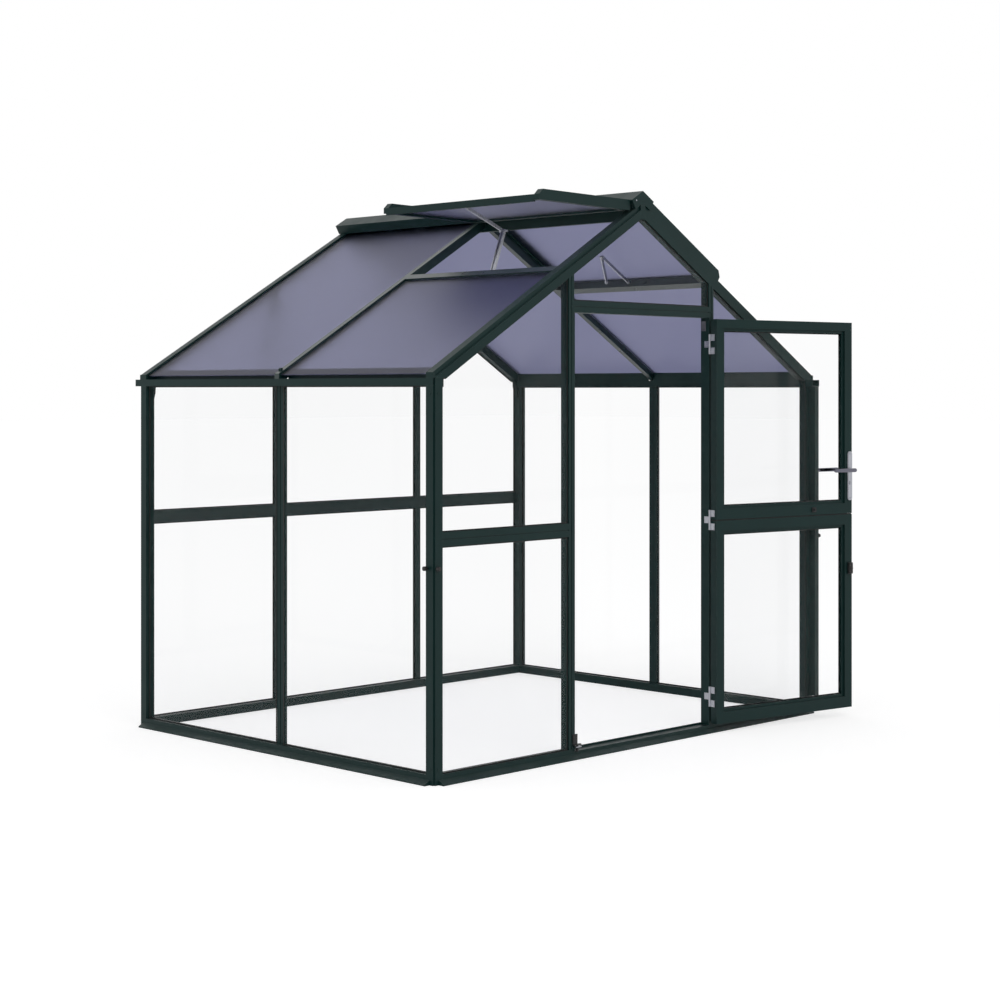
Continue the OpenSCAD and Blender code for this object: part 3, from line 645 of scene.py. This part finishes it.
def stand_copy(pattern, place, facing):
    """A copy of an upright pattern that stands on a place and faces a direction."""
    turn = facing.to_track_quat("Z", "Y").to_matrix().to_4x4()
    return copy_at(pattern, Matrix.Translation(place) @ turn)


def join_as(name, pieces, body, finish):
    """Joins pieces into one, names it, finishes it and lets it ride on its body."""
    bpy.ops.object.select_all(action="DESELECT")
    for piece in pieces:
        piece.select_set(True)
    bpy.context.view_layer.objects.active = pieces[0]
    if len(pieces) > 1:
        bpy.ops.object.join()
    whole = bpy.context.object
    whole.name = name
    whole.data.name = name
    whole.data.materials.clear()
    whole.data.materials.append(finish)
    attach(whole, body)
    print(name, len(whole.data.polygons), "faces")
    return whole


print("modelling helpers ready")

# %% [markdown]
# ## Where the door hardware sits
# The leaves stand wide open at rest, so everything on them is modelled as if the door
# were shut, where it is square to the house, and is then swung open about the hinge
# pin. The sizes of the engineering shapes, measured shut, say where each piece goes.

# %% Door places
hinge = next(joint for joint in frame["joints"] if joint["name"] == "upper_leaf_hinge")
PIN = Matrix.Translation(hinge["pos_m"])
SWING = PIN @ Matrix.Rotation(-math.radians(hinge["range_deg"][0]), 4, "Z") @ PIN.inverted()
MIRROR_X = Matrix.Scale(-1, 4, RIGHT)


def shut_box(name):
    """The corners of a leaf's part when its leaf is shut."""
    back = SWING.inverted()
    points = [back @ vertex.co for vertex in nodes[name].data.vertices]
    low = Vector(min(point[i] for point in points) for i in range(3))
    high = Vector(max(point[i] for point in points) for i in range(3))
    return low, high


def swing_open(piece):
    """Swings a finished piece open, within its mesh."""
    piece.data.transform(SWING)
    return piece


leaf_low, leaf_high = shut_box("upper_leaf_frame")
print("leaf, shut, from", [round(v, 4) for v in leaf_low], "to", [round(v, 4) for v in leaf_high])

# %% [markdown]
# ## Screws
# A real frame shows its screws: round pan heads with one slot. The head is a short
# cylinder with a rounded rim. Two cuts across its top leave a narrow strip between them,
# and that strip is pushed down to make the slot. One screw is modelled and then copied.

# %% One screw
SCREW_RADIUS = 3.6 * MM
SCREW_PROUD = 1.8 * MM
SLOT_HALF = 0.45 * MM
SLOT_DEPTH = 0.9 * MM
SCREW_ROUND = 0.25 * MM

screw = start_round(SCREW_RADIUS, (0, 0, 0), (0, 0, SCREW_PROUD), sides=24)
for side in (-1, 1):
    pick_faces(screw, lambda middle, normal: normal.z > SQUARE_ON)
    cut((0, side * SLOT_HALF, 0), REAR)
pick_faces(screw, lambda middle, normal: normal.z > SQUARE_ON and abs(middle.y) < SLOT_HALF / 2)
push((0, 0, -SLOT_DEPTH))
soften(screw, SCREW_ROUND)
screw.name = "screw_pattern"
print("screw", len(screw.data.polygons), "faces")

# %% [markdown]
# ### Screws of the frame
# Cover screws hold each post to the rail at its foot and to the gutter or header at its
# head. Each hinge plate has two screws.

# %% Frame screws
SCREW_RISE = 62 * MM
DOOR_POST_INSET = 16 * MM
SIDE_POST_INSET = 12 * MM
SIDE_POST_LIFT = 4 * MM
SIDE_POST_DROP = 22 * MM

post_low, post_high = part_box("corner_posts_front")
rear_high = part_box("corner_posts_rear")[1]
side_low, side_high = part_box("side_posts")
door_low, door_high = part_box("door_posts")
opening_low, opening_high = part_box("door_header")
half_post = (post_high.y - post_low.y) / 2

frame_screws = []
for x in (post_low.x + half_post, post_high.x - half_post):
    for z in (SCREW_RISE, post_high.z - SCREW_RISE):
        frame_screws.append(stand_copy(screw, (x, post_low.y, z), FRONT))
        frame_screws.append(stand_copy(screw, (x, rear_high.y, z), REAR))
for y in (post_low.y + half_post, rear_high.y - half_post):
    for z in (SCREW_RISE, post_high.z - SCREW_RISE):
        frame_screws.append(stand_copy(screw, (post_low.x, y, z), LEFT))
        frame_screws.append(stand_copy(screw, (post_high.x, y, z), RIGHT))
for x in (door_low.x + DOOR_POST_INSET, door_high.x - DOOR_POST_INSET):
    for z in (SCREW_RISE, (opening_low.z + opening_high.z) / 2):
        frame_screws.append(stand_copy(screw, (x, door_low.y, z), FRONT))
for y in (side_low.y + SIDE_POST_INSET, side_high.y - SIDE_POST_INSET):
    for z in (SCREW_RISE + SIDE_POST_LIFT, side_high.z - SIDE_POST_DROP):
        frame_screws.append(stand_copy(screw, (side_low.x, y, z), LEFT))
        frame_screws.append(stand_copy(screw, (side_high.x, y, z), RIGHT))
join_as("screws_frame", frame_screws, "house", powder_coat)

# %% [markdown]
# ### Screws of the hinges
# Their heads sit low in the plates, so that a plate on the leaf can close against the
# plate on the post. Each screw is placed by its distance back from the front plane and
# its height from the middle of its hinge.

# %% Hinge screws
HINGE_HALF = 45 * MM
PLATE_FACE = 2 * MM
HEAD_SUNK = 1.4 * MM
POST_SCREWS = ((9 * MM, -8 * MM), (18 * MM, 8 * MM))
LEAF_SCREWS = ((9 * MM, 23 * MM), (18 * MM, 36 * MM))

hinge_low, hinge_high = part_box("hinges_post")
hinge_heights = (
    hinge_low.z + HINGE_HALF,
    (shut_box("hinges_lower_leaf")[1].z + shut_box("hinges_upper_leaf")[0].z) / 2,
    hinge_high.z - HINGE_HALF,
)
post_face = opening_high.x - PLATE_FACE + HEAD_SUNK
leaf_face = leaf_high.x + PLATE_FACE - HEAD_SUNK

post_screws = [
    stand_copy(screw, (post_face, y, z + rise), LEFT)
    for z in hinge_heights
    for y, rise in POST_SCREWS
]
join_as("screws_hinges_post", post_screws, "house", brushed_steel)

bottom_hinge, split_hinge, top_hinge = hinge_heights
for name, places in (
    ("upper", ((split_hinge, 1), (top_hinge, -1), (top_hinge, 1))),
    ("lower", ((bottom_hinge, -1), (bottom_hinge, 1), (split_hinge, -1))),
):
    leaf_screws = [
        swing_open(stand_copy(screw, (leaf_face, y, z + way * rise), RIGHT))
        for z, way in places
        for y, rise in LEAF_SCREWS
    ]
    join_as(f"screws_hinges_{name}", leaf_screws, f"{name}_leaf", brushed_steel)

# %% [markdown]
# ## Rubber glazing strips
# Each pane of the walls and the door is pressed against its bars by a soft black strip.
# The strip could be four boxes, but a rubber strip turns its corners in one piece. So the
# pane's own outer face is copied, its rim is kept by an inset, and the rim gets a
# thickness. That follows the sloping panes of the gable just as well as square ones.

# %% Rubber strips
STRIP_WIDTH = 5 * MM
STRIP_DEPTH = 3 * MM
STRIP_ROUND = 0.6 * MM
WELD = 0.01 * MM
FLAT_ANGLE = math.radians(2)


def rubber_round(pane, facing, body):
    """A rubber strip round every pane of a node, on the side that it faces."""
    bpy.ops.object.select_all(action="DESELECT")
    strip = copy_at(nodes[pane], Matrix.Identity(4))
    strip.select_set(True)
    bpy.context.view_layer.objects.active = strip
    bpy.ops.object.mode_set(mode="EDIT")
    bpy.ops.mesh.select_all(action="SELECT")
    bpy.ops.mesh.remove_doubles(threshold=WELD)
    pick_faces(strip, lambda middle, normal: normal.dot(facing) < SQUARE_ON)
    bpy.ops.mesh.delete(type="FACE")
    bpy.ops.mesh.select_all(action="SELECT")
    bpy.ops.mesh.dissolve_limited(angle_limit=FLAT_ANGLE)
    bpy.ops.mesh.select_all(action="SELECT")
    bpy.ops.mesh.inset(thickness=STRIP_WIDTH, use_individual=True, use_even_offset=True)
    bpy.ops.mesh.delete(type="FACE")
    finish_edit()
    wall = strip.modifiers.new("depth", "SOLIDIFY")
    wall.thickness = STRIP_DEPTH
    wall.offset = 1
    bpy.ops.object.modifier_apply(modifier=wall.name)
    soften(strip, STRIP_ROUND)
    join_as(pane + "_strip", [strip], body, soft_rubber)


out_of_leaf = SWING.to_3x3() @ FRONT
for pane, facing, body in (
    ("glass_left_wall", LEFT, "house"),
    ("glass_right_wall", RIGHT, "house"),
    ("glass_front", FRONT, "house"),
    ("glass_rear", REAR, "house"),
    ("upper_leaf_glass", out_of_leaf, "upper_leaf"),
    ("lower_leaf_glass", out_of_leaf, "lower_leaf"),
):
    rubber_round(pane, facing, body)

# %% [markdown]
# ## Seal between the leaves
# A rubber lip on top of the lower leaf closes most of the gap below the upper leaf, so no
# daylight shows between them. Two cuts mark off its front and back edges, and these are
# pulled up into low ribs.

# %% Seal between the leaves
SEAL_BODY = 2 * MM
SEAL_RIB = 2.6 * MM
SEAL_INSET = 3 * MM
SEAL_END = 0.5 * MM
SEAL_ROUND = 0.5 * MM
RIB_INSET = 8 * MM
RIB_AWAY = 12 * MM

lower_low, lower_high = shut_box("lower_leaf_frame")
seal = start_block(
    (lower_low.x + SEAL_END, lower_low.y + SEAL_INSET, lower_high.z),
    (lower_high.x - SEAL_INSET, lower_high.y - SEAL_INSET, lower_high.z + SEAL_BODY),
)
for y in (lower_low.y + RIB_INSET, lower_high.y - RIB_INSET):
    bpy.ops.mesh.select_all(action="SELECT")
    cut((0, y, 0), REAR)
seal_middle = (lower_low.y + lower_high.y) / 2
pick_faces(
    seal,
    lambda middle, normal: normal.z > SQUARE_ON and abs(middle.y - seal_middle) > RIB_AWAY,
)
push((0, 0, SEAL_RIB))
soften(seal, SEAL_ROUND)
join_as("split_seal", [swing_open(seal)], "lower_leaf", soft_rubber)

# %% [markdown]
# ## Handle plates and lock
# A long steel plate sits on each side of the upper leaf behind the lever. It is a block
# with its corners bevelled round, and its outer face is inset and raised, as on a pressed
# plate. Below the lever a lock barrel comes through, with a slot for the key.

# %% Handle plates
PLATE_RIM = 3 * MM
PLATE_CORNER = 12 * MM
PLATE_ROUND = 0.5 * MM
PLATE_SCREW_INSET = 11 * MM

plate_low, plate_high = shut_box("handle_plates")
spindle = SWING.inverted() @ Vector(
    next(joint for joint in frame["joints"] if joint["name"] == "lever_turn")["pos_m"]
)


def rounded_plate(y_inner, y_outer):
    """A plate from the leaf out to a depth, with round corners and a raised middle."""
    step = (y_outer - y_inner) / 3
    y_rim = y_outer - step
    low = (plate_low.x, min(y_inner, y_rim), plate_low.z)
    high = (plate_high.x, max(y_inner, y_rim), plate_high.z)
    plate = start_block(low, high)
    pick_edges(plate, lambda a, b: abs((a - b).normalized().y) > SQUARE_ON)
    bpy.ops.mesh.bevel(offset=PLATE_CORNER, segments=8)
    out = 1 if y_outer > y_inner else -1
    pick_faces(plate, lambda middle, normal: normal.y * out > SQUARE_ON)
    panel(PLATE_RIM, (0, step, 0))
    return soften(plate, PLATE_ROUND)


outer_plate = rounded_plate(leaf_low.y, plate_low.y)
inner_plate = rounded_plate(leaf_high.y, plate_high.y)
plate_screws = [
    stand_copy(screw, (spindle.x, y, z), facing)
    for y, facing in ((plate_low.y, FRONT), (plate_high.y, REAR))
    for z in (plate_low.z + PLATE_SCREW_INSET, plate_high.z - PLATE_SCREW_INSET)
]
plates = [swing_open(piece) for piece in (outer_plate, inner_plate, *plate_screws)]
plates = join_as("handle_back_plates", plates, "upper_leaf", brushed_steel)
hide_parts("handle_plates")

# %% Lock barrel
BARREL_RADIUS = 8.5 * MM
BARREL_PROUD = 3.5 * MM
BARREL_DROP = 62 * MM
BARREL_RIM = 2 * MM
BARREL_ROUND = 0.4 * MM
KEY_HALF = 0.8 * MM
KEY_DEPTH = 2.5 * MM

barrel = start_round(
    BARREL_RADIUS,
    (spindle.x, plate_high.y + BARREL_PROUD, spindle.z - BARREL_DROP),
    (spindle.x, plate_low.y - BARREL_PROUD, spindle.z - BARREL_DROP),
)
pick_faces(barrel, lambda middle, normal: abs(normal.y) > SQUARE_ON)
bpy.ops.mesh.inset(thickness=BARREL_RIM)
for side in (-1, 1):
    pick_faces(barrel, lambda middle, normal: abs(normal.y) > SQUARE_ON)
    cut((spindle.x + side * KEY_HALF, 0, 0), RIGHT)
for out in (-1, 1):
    pick_faces(
        barrel,
        lambda middle, normal: normal.y * out > SQUARE_ON
        and abs(middle.x - spindle.x) < KEY_HALF / 2
        and abs(middle.z - spindle.z + BARREL_DROP) < BARREL_RADIUS / 2,
    )
    push((0, -out * KEY_DEPTH, 0))
soften(barrel, BARREL_ROUND)
join_as("lock_barrel", [swing_open(barrel)], "upper_leaf", brushed_steel)

# %% [markdown]
# ## Lever handles
# The lever is cast: a round neck leaves the plate and turns into a flat grip that
# narrows and bends back to the door at its tip. The grip starts as a short block, and
# its end face is pulled out step by step. Each step says how far the face goes out, how
# far back to the door, and how much of its height it keeps. A subdivision surface then
# gives the soft cast shape that bevelled boxes never have.

# %% Lever handles
GRIP_HALF = 10.5 * MM
GRIP_THICK = 13 * MM
NECK_RADIUS = 7.5 * MM
ROSE_RADIUS = 12 * MM
ROSE_PROUD = 4 * MM
ROSE_RIM = 2.5 * MM
ROSE_STEP = 2 * MM
CAST_ROUND = 0.8 * MM
TURNING_GAP = 0.3 * MM
END_BAND = 4 * MM
GRIP_STEPS = (
    (26 * MM, 0, 0.96), (34 * MM, 0, 0.97), (34 * MM, 1.5 * MM, 1.0),
    (20 * MM, 3 * MM, 1.0), (8 * MM, 2 * MM, 0.9),
)

lever_low = shut_box("door_lever")[0]
grip = start_block(
    (spindle.x - GRIP_HALF, lever_low.y, spindle.z - GRIP_HALF),
    (spindle.x + GRIP_HALF, lever_low.y + GRIP_THICK, spindle.z + GRIP_HALF),
)
for reach, bend, narrow in GRIP_STEPS:
    end = max(vertex.co.x for vertex in bmesh.from_edit_mesh(grip.data).verts)
    pick_faces(grip, lambda middle, normal: normal.x > SQUARE_ON and middle.x > end - END_BAND)
    push((reach, bend, 0))
    bpy.ops.transform.resize(value=(1, 1, narrow))
finish_edit()
rounding = grip.modifiers.new("cast", "SUBSURF")
rounding.levels = 3
rounding.render_levels = 3
bpy.ops.object.modifier_apply(modifier=rounding.name)
bpy.ops.object.shade_smooth()

neck = start_round(
    NECK_RADIUS,
    (spindle.x, plate_low.y - TURNING_GAP, spindle.z),
    (spindle.x, lever_low.y + GRIP_THICK / 2, spindle.z),
)
soften(neck, CAST_ROUND, segments=3)
rose = start_round(
    ROSE_RADIUS,
    (spindle.x, plate_low.y - TURNING_GAP, spindle.z),
    (spindle.x, plate_low.y - ROSE_PROUD, spindle.z),
)
pick_faces(rose, lambda middle, normal: normal.y < -SQUARE_ON)
panel(ROSE_RIM, (0, -ROSE_STEP, 0))
soften(rose, CAST_ROUND, segments=3)

to_inside = Matrix.Translation((0, leaf_low.y + leaf_high.y, 0)) @ Matrix.Scale(-1, 4, REAR)
for name, parts, finish in (
    ("lever_grips", [grip], steel_painted_dark_reflection),
    ("lever_necks", [neck, rose], brushed_steel),
):
    both_sides = parts + [copy_at(piece, to_inside) for piece in parts]
    opened = [swing_open(piece) for piece in both_sides]
    levers = join_as(name, opened, "lever", finish)
    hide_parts("door_lever")

# %% [markdown]
# ## Slide bolt and latch
# Both are black mouldings on the inner face of a leaf. The body is a block whose face is
# inset and raised, the latch gets two grooves for the fingers, and each has a round knob
# with a dished end.

# %% Fastening helpers
DISH_RIM = 0.3
DISH_DEPTH = 0.8 * MM
KNOB_ROUND = 0.7 * MM
KNOB_SUNK = 1 * MM


def knob_out(radius, middle, y_face, y_tip):
    """A knob on a face, from a little below it to its dished end."""
    base = (middle.x, y_face - KNOB_SUNK, middle.z)
    knob = start_round(radius, base, (middle.x, y_tip, middle.z))
    pick_faces(knob, lambda place, normal: normal.y > SQUARE_ON)
    panel(radius * DISH_RIM, (0, -DISH_DEPTH, 0))
    return soften(knob, KNOB_ROUND, segments=3)


def raised_body(low, high, rim, rise):
    """A block with its inner face inset and raised, still in edit mode."""
    body = start_block(low, high)
    pick_faces(body, lambda middle, normal: normal.y > SQUARE_ON)
    panel(rim, (0, rise, 0))
    return body


print("helpers for fastenings ready")

# %% Latch
LATCH_RIM = 3 * MM
LATCH_RISE = 4 * MM
LATCH_ROUND = 0.8 * MM
LATCH_KNOB_RADIUS = 8 * MM
LATCH_KNOB_PROUD = 3 * MM
GROOVE_HALF = 1.2 * MM
GROOVE_AWAY = 15 * MM
GROOVE_DEPTH = 2 * MM
NEAR_TOP = 0.1 * MM

latch_low, latch_high = shut_box("lower_latch")
latch_middle = (latch_low + latch_high) / 2
latch_top = latch_high.y - LATCH_KNOB_PROUD
latch_block = (latch_high.x, latch_top - LATCH_RISE, latch_high.z)
latch = raised_body(latch_low, latch_block, LATCH_RIM, LATCH_RISE)
for away in (-GROOVE_AWAY, GROOVE_AWAY):
    groove = latch_middle.z + away
    for side in (-GROOVE_HALF, GROOVE_HALF):
        pick_faces(latch, lambda middle, normal: middle.y > latch_top - NEAR_TOP)
        cut((0, 0, groove + side), UP)
    pick_faces(
        latch,
        lambda middle, normal: middle.y > latch_top - NEAR_TOP
        and abs(middle.z - groove) < GROOVE_HALF / 4,
    )
    push((0, -GROOVE_DEPTH, 0))
soften(latch, LATCH_ROUND)
latch_knob = knob_out(LATCH_KNOB_RADIUS, latch_middle, latch_top, latch_high.y)
latch = join_as(
    "leaf_latch", [swing_open(latch), swing_open(latch_knob)],
    "lower_leaf", moulded_black,
)
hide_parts("lower_latch")

# %% Slide bolt
BOLT_RIM = 3 * MM
BOLT_RISE = 3 * MM
BOLT_ROUND = 1.2 * MM
BOLT_KNOB_RADIUS = 6 * MM
BOLT_KNOB_PROUD = 6 * MM

bolt_low, bolt_high = shut_box("upper_bolt")
bolt_middle = (bolt_low + bolt_high) / 2
bolt_top = bolt_high.y - BOLT_KNOB_PROUD
bolt_block = (bolt_high.x, bolt_top - BOLT_RISE, bolt_high.z)
bolt = raised_body(bolt_low, bolt_block, BOLT_RIM, BOLT_RISE)
soften(bolt, BOLT_ROUND, segments=3)
bolt_knob = knob_out(BOLT_KNOB_RADIUS, bolt_middle, bolt_top, bolt_high.y)
bolt = join_as(
    "slide_bolt", [swing_open(bolt), swing_open(bolt_knob)],
    "upper_leaf", moulded_black,
)
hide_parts("upper_bolt")

# %% [markdown]
# ## Corner catches
# Two small black stubs stand on the front left corner post, one on each outer face, at
# about waist height, and one stands on the downpipe at the right corner. A thin stem
# carries a thicker head: the stem is a cylinder, and its end face is widened and pulled
# on.

# %% Corner catches
CATCH_HEIGHT = 850 * MM
STEM_RADIUS = 5 * MM
STEM_LENGTH = 8 * MM
HEAD_GROWTH = 1.8
HEAD_FLARE = 0.5 * MM
HEAD_LENGTH = 12 * MM
CATCH_ROUND = 0.8 * MM
SIDE_CATCH_INSET = 9 * MM
FRONT_CATCH_INSET = 12 * MM
PIPE_CATCH_INSET = 11 * MM

catch = start_round(STEM_RADIUS, (0, 0, 0), (0, 0, STEM_LENGTH), sides=24)
pick_faces(catch, lambda middle, normal: normal.z > SQUARE_ON)
push((0, 0, HEAD_FLARE))
bpy.ops.transform.resize(value=(HEAD_GROWTH, HEAD_GROWTH, 1))
push((0, 0, HEAD_LENGTH))
soften(catch, CATCH_ROUND, segments=3)
catch.name = "catch_pattern"

pipe_low, pipe_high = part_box("downpipe")
catches = [
    stand_copy(catch, (post_low.x, post_high.y - SIDE_CATCH_INSET, CATCH_HEIGHT), LEFT),
    stand_copy(catch, (post_low.x + FRONT_CATCH_INSET, post_low.y, CATCH_HEIGHT), FRONT),
    stand_copy(catch, (pipe_high.x, pipe_low.y + PIPE_CATCH_INSET, CATCH_HEIGHT), RIGHT),
]
join_as("corner_catches", catches, "house", moulded_black)

# %% [markdown]
# ## Foot bracket
# A black angle stands at the foot of the left door post, on a black bolt that passes a
# bright shim. The angle is one folded strip: a block is cut near its foot, and the low
# faces are pulled forward and aside. Widths are measured from the jamb, the edge of the
# doorway, and heights from the ground.

# %% Foot bracket
BRACKET_THICK = 3 * MM
BRACKET_FOOT = 57 * MM
BRACKET_FOLD = 62 * MM
BRACKET_TOP = 104 * MM
BRACKET_ON_POST = 12 * MM
BRACKET_PAST_JAMB = 18 * MM
TAB_FORWARD = 9 * MM
TAB_ASIDE = 15 * MM
BRACKET_ROUND = 0.6 * MM
BRACKET_SCREW_INSET = 6 * MM
BRACKET_SCREW_HEIGHTS = (74 * MM, 93 * MM)

jamb = opening_low.x
bracket = start_block(
    (jamb - BRACKET_ON_POST, -BRACKET_THICK, BRACKET_FOOT),
    (jamb + BRACKET_PAST_JAMB, 0, BRACKET_TOP),
)
bpy.ops.mesh.select_all(action="SELECT")
cut((0, 0, BRACKET_FOLD), UP)
pick_faces(bracket, lambda middle, normal: normal.y < -SQUARE_ON and middle.z < BRACKET_FOLD)
push((0, -TAB_FORWARD, 0))
pick_faces(bracket, lambda middle, normal: normal.x > SQUARE_ON and middle.z < BRACKET_FOLD)
push((TAB_ASIDE, 0, 0))
soften(bracket, BRACKET_ROUND)
bracket_screws = [
    stand_copy(screw, (jamb - BRACKET_SCREW_INSET, -BRACKET_THICK, z), FRONT)
    for z in BRACKET_SCREW_HEIGHTS
]
print("bracket with", len(bracket_screws), "screws")

# %% Foot bolt
SILL_TOP = 31 * MM
BOLT_RADIUS = 6 * MM
BOLT_PAST_JAMB = 10 * MM
BOLT_FORWARD = 7 * MM
BOLT_FLAT_RIM = 0.4 * MM
BOLT_EDGE_ROUND = 0.5 * MM

bolt_x, bolt_y = jamb + BOLT_PAST_JAMB, -BOLT_FORWARD
foot_bolt = start_round(
    BOLT_RADIUS, (bolt_x, bolt_y, SILL_TOP), (bolt_x, bolt_y, BRACKET_FOOT), sides=6
)
pick_faces(foot_bolt, lambda middle, normal: abs(normal.z) < SQUARE_ON)
bpy.ops.mesh.inset(thickness=BOLT_FLAT_RIM)
soften(foot_bolt, BOLT_EDGE_ROUND)
join_as(
    "foot_bracket", [bracket, foot_bolt, *bracket_screws],
    "house", moulded_black,
)

# %% Foot shim
SHIM_FOOT = 48 * MM
SHIM_THICK = 4 * MM
SHIM_ON_POST = 2 * MM
SHIM_PAST_JAMB = 33 * MM
SHIM_FORWARD = 14 * MM
SHIM_CORNER = 3 * MM
SHIM_ROUND = 0.5 * MM

shim = start_block(
    (jamb - SHIM_ON_POST, -SHIM_FORWARD, SHIM_FOOT),
    (jamb + SHIM_PAST_JAMB, 0, SHIM_FOOT + SHIM_THICK),
)
pick_edges(shim, lambda a, b: abs((a - b).normalized().z) > SQUARE_ON)
bpy.ops.mesh.bevel(offset=SHIM_CORNER, segments=4)
soften(shim, SHIM_ROUND)
join_as("foot_shim", [shim], "house", brushed_steel)

# %% [markdown]
# ## End blocks, cover plates and ridge screws
# A block closes the lower end of each roof bar and stops the panes from sliding. A thin
# cover sits on the hinge post above the top hinge. A bright screw holds the ridge capping
# at each gable.

# %% Roof bar end blocks
BLOCK_WIDTH = 16 * MM
BLOCK_FRONT = 16 * MM
BLOCK_DEPTH = 11 * MM
BLOCK_FOOT = 14 * MM
BLOCK_RISE = 46 * MM
BLOCK_CORNER = 4 * MM
BLOCK_RIM = 2.5 * MM
BLOCK_DISH = 1.2 * MM
BLOCK_ROUND = 0.7 * MM
NEAR_FRONT = 1 * MM

bar_low, bar_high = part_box("roof_bar_left")
bar_middle = (bar_low.y + bar_high.y) / 2
block_x = bar_low.x + BLOCK_FRONT
end_block = start_block(
    (block_x, bar_middle - BLOCK_WIDTH / 2, bar_low.z + BLOCK_FOOT),
    (block_x + BLOCK_DEPTH, bar_middle + BLOCK_WIDTH / 2, bar_low.z + BLOCK_RISE),
)
pick_edges(
    end_block,
    lambda a, b: min(a.z, b.z) > bar_low.z + BLOCK_RISE / 2
    and max(a.x, b.x) < block_x + NEAR_FRONT,
)
bpy.ops.mesh.bevel(offset=BLOCK_CORNER, segments=3)
pick_faces(end_block, lambda middle, normal: normal.x < -SQUARE_ON)
panel(BLOCK_RIM, (BLOCK_DISH, 0, 0))
soften(end_block, BLOCK_ROUND)
join_as(
    "roof_bar_blocks", [end_block, copy_at(end_block, MIRROR_X)],
    "house", powder_coat,
)

# %% Cover plate
COVER_THICK = 1.4 * MM
COVER_FRONT = 18 * MM
COVER_BACK = 44 * MM
COVER_FOOT = 15 * MM
COVER_TOP = 60 * MM
COVER_RIM = 3 * MM
COVER_DISH = 0.7 * MM
COVER_ROUND = 0.4 * MM

cover = start_block(
    (opening_high.x - COVER_THICK, COVER_FRONT, hinge_high.z + COVER_FOOT),
    (opening_high.x, COVER_BACK, hinge_high.z + COVER_TOP),
)
pick_faces(cover, lambda middle, normal: normal.x < -SQUARE_ON)
panel(COVER_RIM, (COVER_DISH, 0, 0))
soften(cover, COVER_ROUND)
join_as("hinge_post_cover", [cover], "house", dull_zinc)

# %% Ridge screws
RIDGE_SCREW_ASIDE = 45 * MM
RIDGE_SCREW_DROP = 44 * MM

cap_low, cap_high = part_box("ridge_cap")
ridge_screws = [
    stand_copy(screw, (-RIDGE_SCREW_ASIDE, y, cap_high.z - RIDGE_SCREW_DROP), facing)
    for y, facing in ((cap_low.y, FRONT), (cap_high.y, REAR))
]
join_as("screws_ridge", ridge_screws, "house", brushed_steel)

# %% [markdown]
# ## Clear the bench
# The two patterns were only there to be copied.

# %% Clear the bench
for pattern in (screw, catch):
    bpy.data.objects.remove(pattern)
